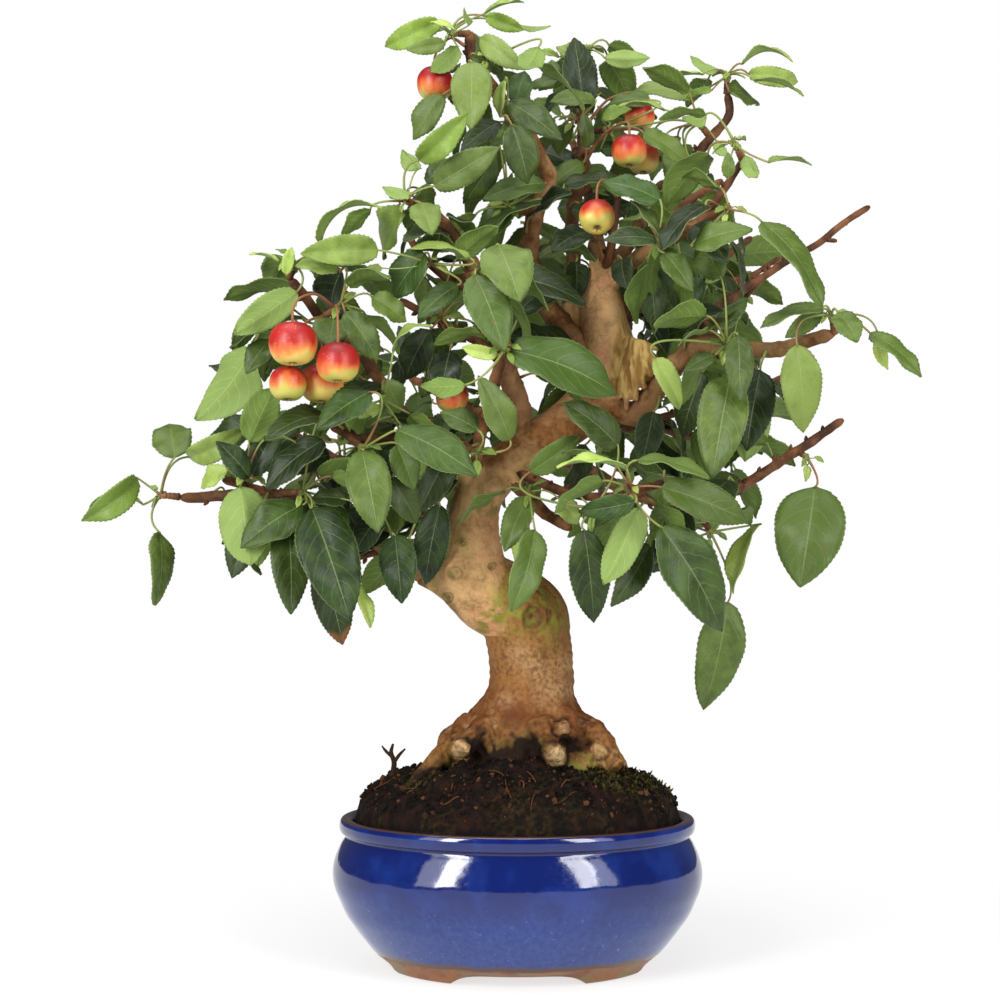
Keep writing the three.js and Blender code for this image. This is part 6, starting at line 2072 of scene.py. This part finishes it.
    def blade(self, shell: Shell, leaf: Leaf, seed: float, dry: float) -> None:
        """Add a leaf's blade, toothed, quilted and thin.

        Formula: two rows a tooth, the outer point of every second row pushed out and towards
        the tip; between side veins the blade swells by half a sine, and it sinks along the rib.

        Args:
            shell: the spray's piece.
            leaf: the leaf.
            seed: its number from 0 to 1, which varies its colour.
            dry: 1 where the tip has dried, or 0.
        """
        teeth = int(np.clip(round(leaf.length / self.tooth_pitch), 5, 20))
        side = [0.22, 0.62, 1.0] if leaf.length < 16 else [0.22, 0.52, 0.8, 1.0]
        s = np.array([*(-x for x in side[::-1]), 0.0, *side])[None]
        t = np.linspace(0.002, 0.996, 2 * teeth + 1)[:, None]
        peak = (np.arange(len(t)) % 2 == 1)[:, None]
        aside = np.abs(s)
        outer = aside**6
        half = leaf.width / 2
        depth = min(0.5, 0.05 * half + 0.12) / half
        t_cut = np.clip(t + peak * outer * 0.55 / (2 * teeth), 0.002, 0.998)
        full = np.maximum(blade_shape(t), 0.04) ** (-0.2 * (1 - t))
        s_cut = s * (full + outer * np.where(peak, 0.35, -0.65) * depth / np.maximum(blade_shape(t), 0.25))
        swell = np.abs(np.sin(TAU * self.side_veins * (t - 0.3 * aside**1.5))) ** 0.7
        swell = swell * (1 - 0.45 * aside) * np.minimum(1, aside / 0.3)
        curl = -0.10 * half * aside**4 * (0.5 + share(leaf.phase * 31))
        ripple = 0.06 * half * s**2 * np.sin(TAU * (2.6 * t + 3 * leaf.phase)) * np.sign(s)
        lift = 0.016 * half * swell - 0.03 * half * bell(s, 0.14) + curl + ripple
        rib = 0.45 * bell(s, 0.12) * (1 - 0.7 * t)
        upper = leaf.surface(t_cut, s_cut, lift + self.half_thick)
        lower = leaf.surface(t_cut, s_cut, lift - self.half_thick - rib)[:, ::-1]
        both = np.concatenate([s, s[:, ::-1]], axis=1)
        under = np.repeat((0.0, 1.0), s.shape[1])[None]
        browning = dry * soft_step(t + 0.12 * np.abs(both), 0.84, 0.92)
        grid = np.concatenate([upper, lower], axis=1)
        shell.add_rings(grid, t=t, s=both, under=under, tone=leaf.tone, seed=seed, stalk=0.0, dry=browning)

    def stem(self, shell: Shell, leaf: Leaf, seed: float) -> None:
        """Add a leaf's stalk, thicker where it leaves the spur."""
        u = np.linspace(0.0, 1.04, max(6, int(leaf.reach() / 2.2)))
        thick = min(PETIOLE_RADIUS, 0.28 + 0.018 * leaf.length)
        radius = thick * (0.82 + 0.5 * (1 - np.clip(u, 0, 1)) ** 6)
        shell.add_rings(sweep(leaf.stalk(u), radius, 6), t=u[:, None], tone=leaf.tone, seed=seed, stalk=1.0)

    def heart(self, shell: Shell, spur: Spur, seed: float) -> None:
        """Add the spur's bud with overlapping scales at the heart of its spray."""
        stations = spur.end + np.outer(np.linspace(SEAT_GAP, 5.6, 8), spur.way)
        radius = np.array([1.75, 1.95, 1.95, 1.8, 1.7, 1.3, 0.9, 0.25])
        shell.add_rings(sweep(stations, radius, 10), stalk=1.0, seed=seed, dry=0.45)
        _, across, up = path_frames(stations)
        for i in range(5):
            angle = TAU * share(i)
            out = math.cos(angle) * across[0] + math.sin(angle) * up[0]
            foot = spur.end + spur.way * (0.8 + 0.6 * i)
            path = foot + np.outer(np.linspace(0, 1, 5), 2.8 * spur.way)
            path = path + np.outer([1.5, 1.9, 1.9, 1.6, 1.1], out)
            scale = sweep(path, np.array([0.5, 0.75, 0.7, 0.45, 0.12]), 5)
            shell.add_rings(scale, stalk=1.0, seed=seed, dry=0.3)

    def build(self) -> None:
        """Settle every leaf, then make and dress one piece for each spray."""
        foliage = Foliage().material()
        sprays = self.packed_leaves()
        self.open_places = np.vstack([self.open_places, OPEN_TRUNK])
        extra = [self.more_leaves(index) for index in range(len(self.rows))]
        inner = self.inner_leaves()
        counts = sum(map(len, sprays)), sum(map(len, extra)), len(inner)
        log.info("%d leaves in sprays, %d more round them, %d inside", *counts)
        for number in range(self.inner_pieces):
            shell = Shell()
            for i, leaf in enumerate(inner[number :: self.inner_pieces]):
                seed = 0.2 * float(share(13 * number + 5 * i))
                self.blade(shell, leaf, seed, 0.0)
                self.stem(shell, leaf, seed)
            present(shell.build(f"inner_leaves_{number + 1}"), foliage)
        for index, (row, spur) in enumerate(zip(self.rows, self.spurs)):
            shell = Shell()
            self.heart(shell, spur, float(share(index)))
            for i, leaf in enumerate([*sprays[index], *extra[index]]):
                seed = float(share(11 * index + 3 * i))
                self.blade(shell, leaf, seed, float((index, i) in DRY_TIPS))
                self.stem(shell, leaf, seed)
            present(shell.build(f"foliage_{row.name}"), foliage, [f"leaves_{row.name}"])


# ---- apples
@dataclass(frozen=True)
class AppleRow:
    """An apple: column, row and depth of its middle, its radius, and where its stalk starts."""

    at: tuple[float, float, float]
    radius: float
    root: tuple[float, float, float]
    blush: float = 0.7  # how far down the red comes
    tilt: float = 8.0  # degrees that the flower end turns to the viewer


APPLES = (
    AppleRow((293, 344, -98), 12.8, (320, 304, -72), 0.75),
    AppleRow((338, 363, -97), 11.8, (326, 318, -72), 0.8),
    AppleRow((288, 384, -87), 10.2, (318, 322, -60), 0.55),
    AppleRow((322, 384, -73), 11.6, (324, 324, -54), 0.6),
    AppleRow((452, 398, -38), 9, (444, 330, -40), 0.8),
    AppleRow((435, 84, -6), 10.6, (468, 46, -8), 0.85),
    AppleRow((597, 217, -40), 9.9, (610, 196, -8), 0.62, 34),
    AppleRow((629, 151, 2), 10.2, (592, 156, 14), 0.75),
    AppleRow((643, 159, 28), 9.8, (594, 150, 26), 0.6),
    AppleRow((640, 117, 38), 8.8, (596, 122, 38), 0.7),
)
APPLE_STALK = 0.75


@dataclass(frozen=True)
class AppleSkin:
    """Waxy skin, red where the sun reached it and yellow below, with pale specks."""

    red: Colour = tint(162, 28, 24)
    red_deep: Colour = tint(118, 14, 22)
    orange: Colour = tint(206, 108, 52)
    yellow: Colour = tint(208, 184, 92)
    green: Colour = tint(176, 174, 82)
    speck: Colour = tint(236, 196, 128)
    dry: Colour = tint(92, 66, 38)
    stalk: Colour = tint(136, 92, 56)

    def material(self) -> bpy.types.Material:
        """Build the material from each apple's numbers and fine streaks."""
        paint = Paint("apple_skin")
        red, stalk, dry = map(paint.attribute, ("red", "stalk", "dry"))
        shade = red + paint.noise(240.0, 4.0, 0.25).band(0.3, 0.7, 0.06, 0.2)
        ground = paint.mix(paint.noise(60.0, 2.0).band(0.4, 0.6), self.yellow, self.green)
        colour = ground.coat(shade.band(0.16, 0.52), self.orange).coat(shade.band(0.42, 0.78), self.red)
        colour = colour.coat(shade.band(0.76, 1.12, 0.0, 0.85), self.red_deep)
        colour = colour.coat(paint.cells(430.0).band(0.05, 0.13, 0.6, 0.0), self.speck)
        colour = colour.coat(stalk, self.stalk).coat(dry, self.dry)
        paint.bump(paint.noise(300.0, 2.0), 0.0003, 0.25)
        rough = stalk.most(dry) * 0.4 + 0.42
        return paint.done(colour, rough, Specular_IOR_Level=0.4, Coat_Weight=0.05, Coat_Roughness=0.2)


@dataclass
class Apples:
    """The ten apples on their long stalks.

    Attributes:
        wood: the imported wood.
        spurs: the short shoots, which some of the stalks start from.
        profile: radius and height from the flower end to the stalk, in the apple's radii.
    """

    wood: Rods
    spurs: list[Spur]
    sides: int = 44
    profile: tuple[tuple[float, float], ...] = (
        (0.03, -0.68), (0.12, -0.72), (0.3, -0.82), (0.52, -0.8), (0.74, -0.66), (0.9, -0.42), (0.98, -0.12),
        (0.985, 0.12), (0.94, 0.36), (0.86, 0.54), (0.68, 0.74), (0.5, 0.84), (0.34, 0.86), (0.2, 0.82),
        (0.1, 0.74), (0.03, 0.66),
    )

    def balls(self) -> Array:
        """Return the apples' middles and radii."""
        return np.array([[*spot(*row.at), row.radius] for row in APPLES])

    def stalk(self, row: AppleRow) -> Array:
        """Place the four corners of a stalk: from the nearest wood, up, over, and into the dip."""
        root, middle = spot(*row.root), spot(*row.at)
        nearest = (self.wood.foot(root), spur_rods(self.spurs).foot(root))
        foot, radius, _ = min(nearest, key=lambda found: found[2] - found[1])
        start = foot + unit(root - foot) * (radius + SEAT_GAP)
        neck = middle + UPWARD * 1.5 * row.radius
        rise = start + 0.45 * (neck - start) + UPWARD * 7
        return np.array([start, rise, neck, middle + UPWARD * 0.6 * row.radius])

    def stalk_rods(self) -> Rods:
        """Return the stalks as rods."""
        return Rods.along([np.column_stack([self.stalk(row), np.full(4, APPLE_STALK)]) for row in APPLES])

    def apple(self, row: AppleRow, seed: int) -> Shell:
        """Shape one apple.

        Formula: the profile turned about the upright, its radius changed by three slow waves
        round it and by noise, with a bowl for the stalk and one for the dry flower.

        Args:
            row: the apple's place and size.
            seed: a number that changes its waves and noise.

        Returns:
            The apple with its stalk and its five dry sepals.
        """
        shell = Shell()
        curve = profile_curve(self.profile, 0.07)
        angle = ring_angles(self.sides)
        lobes = 1 + 0.022 * np.cos(5 * angle + seed) * soft_step(curve[:, 1:], 0.1, -0.7)
        lobes = lobes + 0.02 * np.cos(2 * angle + 2 * seed)
        grid = turned(curve, self.sides) * row.radius * joined(lobes, lobes, 1.0)
        grid += 0.12 * lattice_noise(grid, 5.0, 81 + seed)[..., None] * unit(grid)
        height = grid[..., 2] / row.radius
        sunny = 0.3 + 0.55 * height + 0.9 * (row.blush - 0.6) - 0.12 * grid[..., 1] / row.radius
        sunny = sunny + 0.2 * lattice_noise(grid, 7.0, 91 + seed)
        bowl = np.hypot(grid[..., 0], grid[..., 1]) / row.radius
        dry = 0.9 * (bowl < 0.16) * (height < 0) + 0.5 * (bowl < 0.12) * (height > 0)
        tilt = math.radians(row.tilt)
        cos, sin = math.cos(tilt), math.sin(tilt)
        turn = np.array([(1, 0, 0), (0, cos, sin), (0, -sin, cos)])
        middle = spot(*row.at)
        shell.add_rings(grid @ turn.T + middle, red=np.clip(sunny, 0, 1.2), dry=dry, stalk=0.0)
        knots = np.column_stack([self.stalk(row), [1.15, 0.72, 0.68, 0.85]])
        shell.add_rings(tube(knots, 1.6, 8), stalk=1.0, red=0.5)
        steps, drop = np.array([(0.0, 0.2), (0.7, 1.0), (1.5, 1.7), (2.2, 1.9)]).T[..., None]
        for turn_angle in ring_angles(5) + 0.3 * seed:
            out = np.array([math.cos(turn_angle), math.sin(turn_angle), 0.0])
            path = row.radius * (0.07 * out - 0.7 * UPWARD) + steps * (0.75 * out) - UPWARD * drop
            shell.add_rings(sweep(path @ turn.T + middle, np.array([0.3, 0.35, 0.28, 0.1]), 5), dry=0.8)
        return shell

    def build(self) -> None:
        """Make and dress every apple."""
        skin = AppleSkin().material()
        for i, row in enumerate(APPLES):
            present(self.apple(row, i).build(f"ripe_apple_{i + 1}"), skin, [f"apple_{i + 1}"])


# ---- studio
@dataclass
class Studio:
    """A pale floor, a tall light and a softer one to each side in front, and a light above."""

    sensor: float = 36.0
    grid_places: float = 1000.0
    floor_radius: float = 9000.0
    shade: float = 0.33  # strength of the sky where no ray asks for it
    aim: tuple[float, float, float] = (0.0, 0.0, 240.0)

    def camera(self) -> None:
        """Set the camera where the front grid is seen from."""
        data = bpy.data.cameras.new("viewer")
        data.sensor_width = self.sensor
        data.lens = self.sensor * GRID_FOCAL / self.grid_places
        data.clip_end = 50.0
        camera = bpy.data.objects.new("viewer", data)
        camera.location = home(np.array([EYE_SIDE, -EYE_BACK, EYE_HEIGHT]))
        camera.rotation_euler = (math.radians(90.0), 0.0, 0.0)
        bpy.context.scene.collection.objects.link(camera)
        bpy.context.scene.camera = camera

    def floor(self) -> None:
        """Lay a wide pale disc under the pot, which glows by itself: seven tenths of full white near the
        middle, full from 0.4 m out.
        """
        rings = [(radius, -0.05) for radius in (1.0, 300.0, 900.0, 2600.0, self.floor_radius)]
        shell = Shell()
        shell.add_rings(turned(np.array([*rings, (self.floor_radius, -4.0), (1.0, -4.0)]), 96))
        piece = shell.build("studio_floor")
        paint = Paint("studio_glowing_floor")
        paint.done(tint(252, 252, 252), 0.8, Specular_IOR_Level=0.05)
        # Painted light: the glow lifts the shadow under the pot and the floor's far reach to white.
        away = paint.node("ShaderNodeVectorMath", operation="LENGTH")
        far = paint.wire(away, away.outputs["Value"], {0: paint.place()}).band(0.08, 0.4, 0.7, 1.0)
        glow = paint.node("ShaderNodeEmission").outputs[0]
        blend = paint.node("ShaderNodeMixShader")
        mixed = paint.wire(blend, blend.outputs[0], {0: far, 1: paint.shader.outputs[0], 2: glow})
        output = next(node for node in paint.tree.nodes if node.type == "OUTPUT_MATERIAL")
        paint.feed(output.inputs["Surface"], mixed)
        piece.data.materials.append(paint.material)

    def light(
        self, name: str, place: tuple[float, float, float], size: tuple[float, float], power: float
    ) -> None:
        """Hang a rectangular light that faces the tree's middle."""
        data = bpy.data.lights.new(name, "AREA")
        data.shape, data.size, data.size_y, data.energy = "RECTANGLE", size[0], size[1], power
        lamp = bpy.data.objects.new(name, data)
        lamp.location = home(np.array(place))
        x, y, z = unit(home(np.array(self.aim)) - home(np.array(place))).tolist()
        lamp.rotation_euler = (math.acos(-z), 0.0, math.atan2(y, x) - math.pi / 2)
        bpy.context.scene.collection.objects.link(lamp)

    def sky(self) -> None:
        """Fill the room with even white light that gloss sees much dimmer."""
        world = bpy.data.worlds.new("studio")
        world.use_nodes = True
        tree = world.node_tree
        background = next(node for node in tree.nodes if node.type == "BACKGROUND")
        rays = tree.nodes.new("ShaderNodeLightPath")
        last = background.inputs["Strength"]
        for ray, strength in (("Is Camera Ray", 1.0), ("Is Glossy Ray", 0.12)):
            choose = tree.nodes.new("ShaderNodeMix")
            choose.inputs[3].default_value = strength
            choose.inputs[2].default_value = self.shade
            tree.links.new(rays.outputs[ray], choose.inputs[0])
            tree.links.new(choose.outputs[0], last)
            last = choose.inputs[2]
        background.inputs["Color"].default_value = (1.0, 1.0, 1.0, 1.0)
        bpy.context.scene.world = world

    def build(self) -> None:
        """Set up the view, the floor and the lights."""
        self.camera()
        self.floor()
        self.sky()
        self.light("window_left", (-1000.0, -1330.0, 820.0), (0.35, 1.3), 26.0)
        self.light("window_right", (925.0, -1330.0, 820.0), (0.35, 1.3), 16.5)
        self.light("window_left_soft", (-1330.0, -1200.0, 820.0), (0.5, 1.3), 6.0)
        self.light("window_right_soft", (1230.0, -1200.0, 820.0), (0.4, 1.3), 5.0)
        self.light("above", (-200.0, -300.0, 1900.0), (1.6, 1.2), 21.0)
        view = bpy.context.scene.view_settings
        view.view_transform = "Standard"
        view.look = "None"


def main() -> None:
    """Build the studio and every part of the bonsai."""
    logging.basicConfig(level=logging.INFO, format="%(message)s")
    Studio().build()
    Pot().build()
    Soil().build()
    wood = packed_wood()
    spurs = [Spur.grow(wood, row.spur) for row in (*SPRAYS, *BACK_SPRAYS)]
    bark = Bark().material()
    Trunk().build(bark)
    Boughs().build(bark, spurs)
    apples = Apples(wood, spurs)
    apples.build()
    Canopy(wood, apples.balls(), apples.stalk_rods(), spurs).build()


if __name__ == "__main__":
    main()
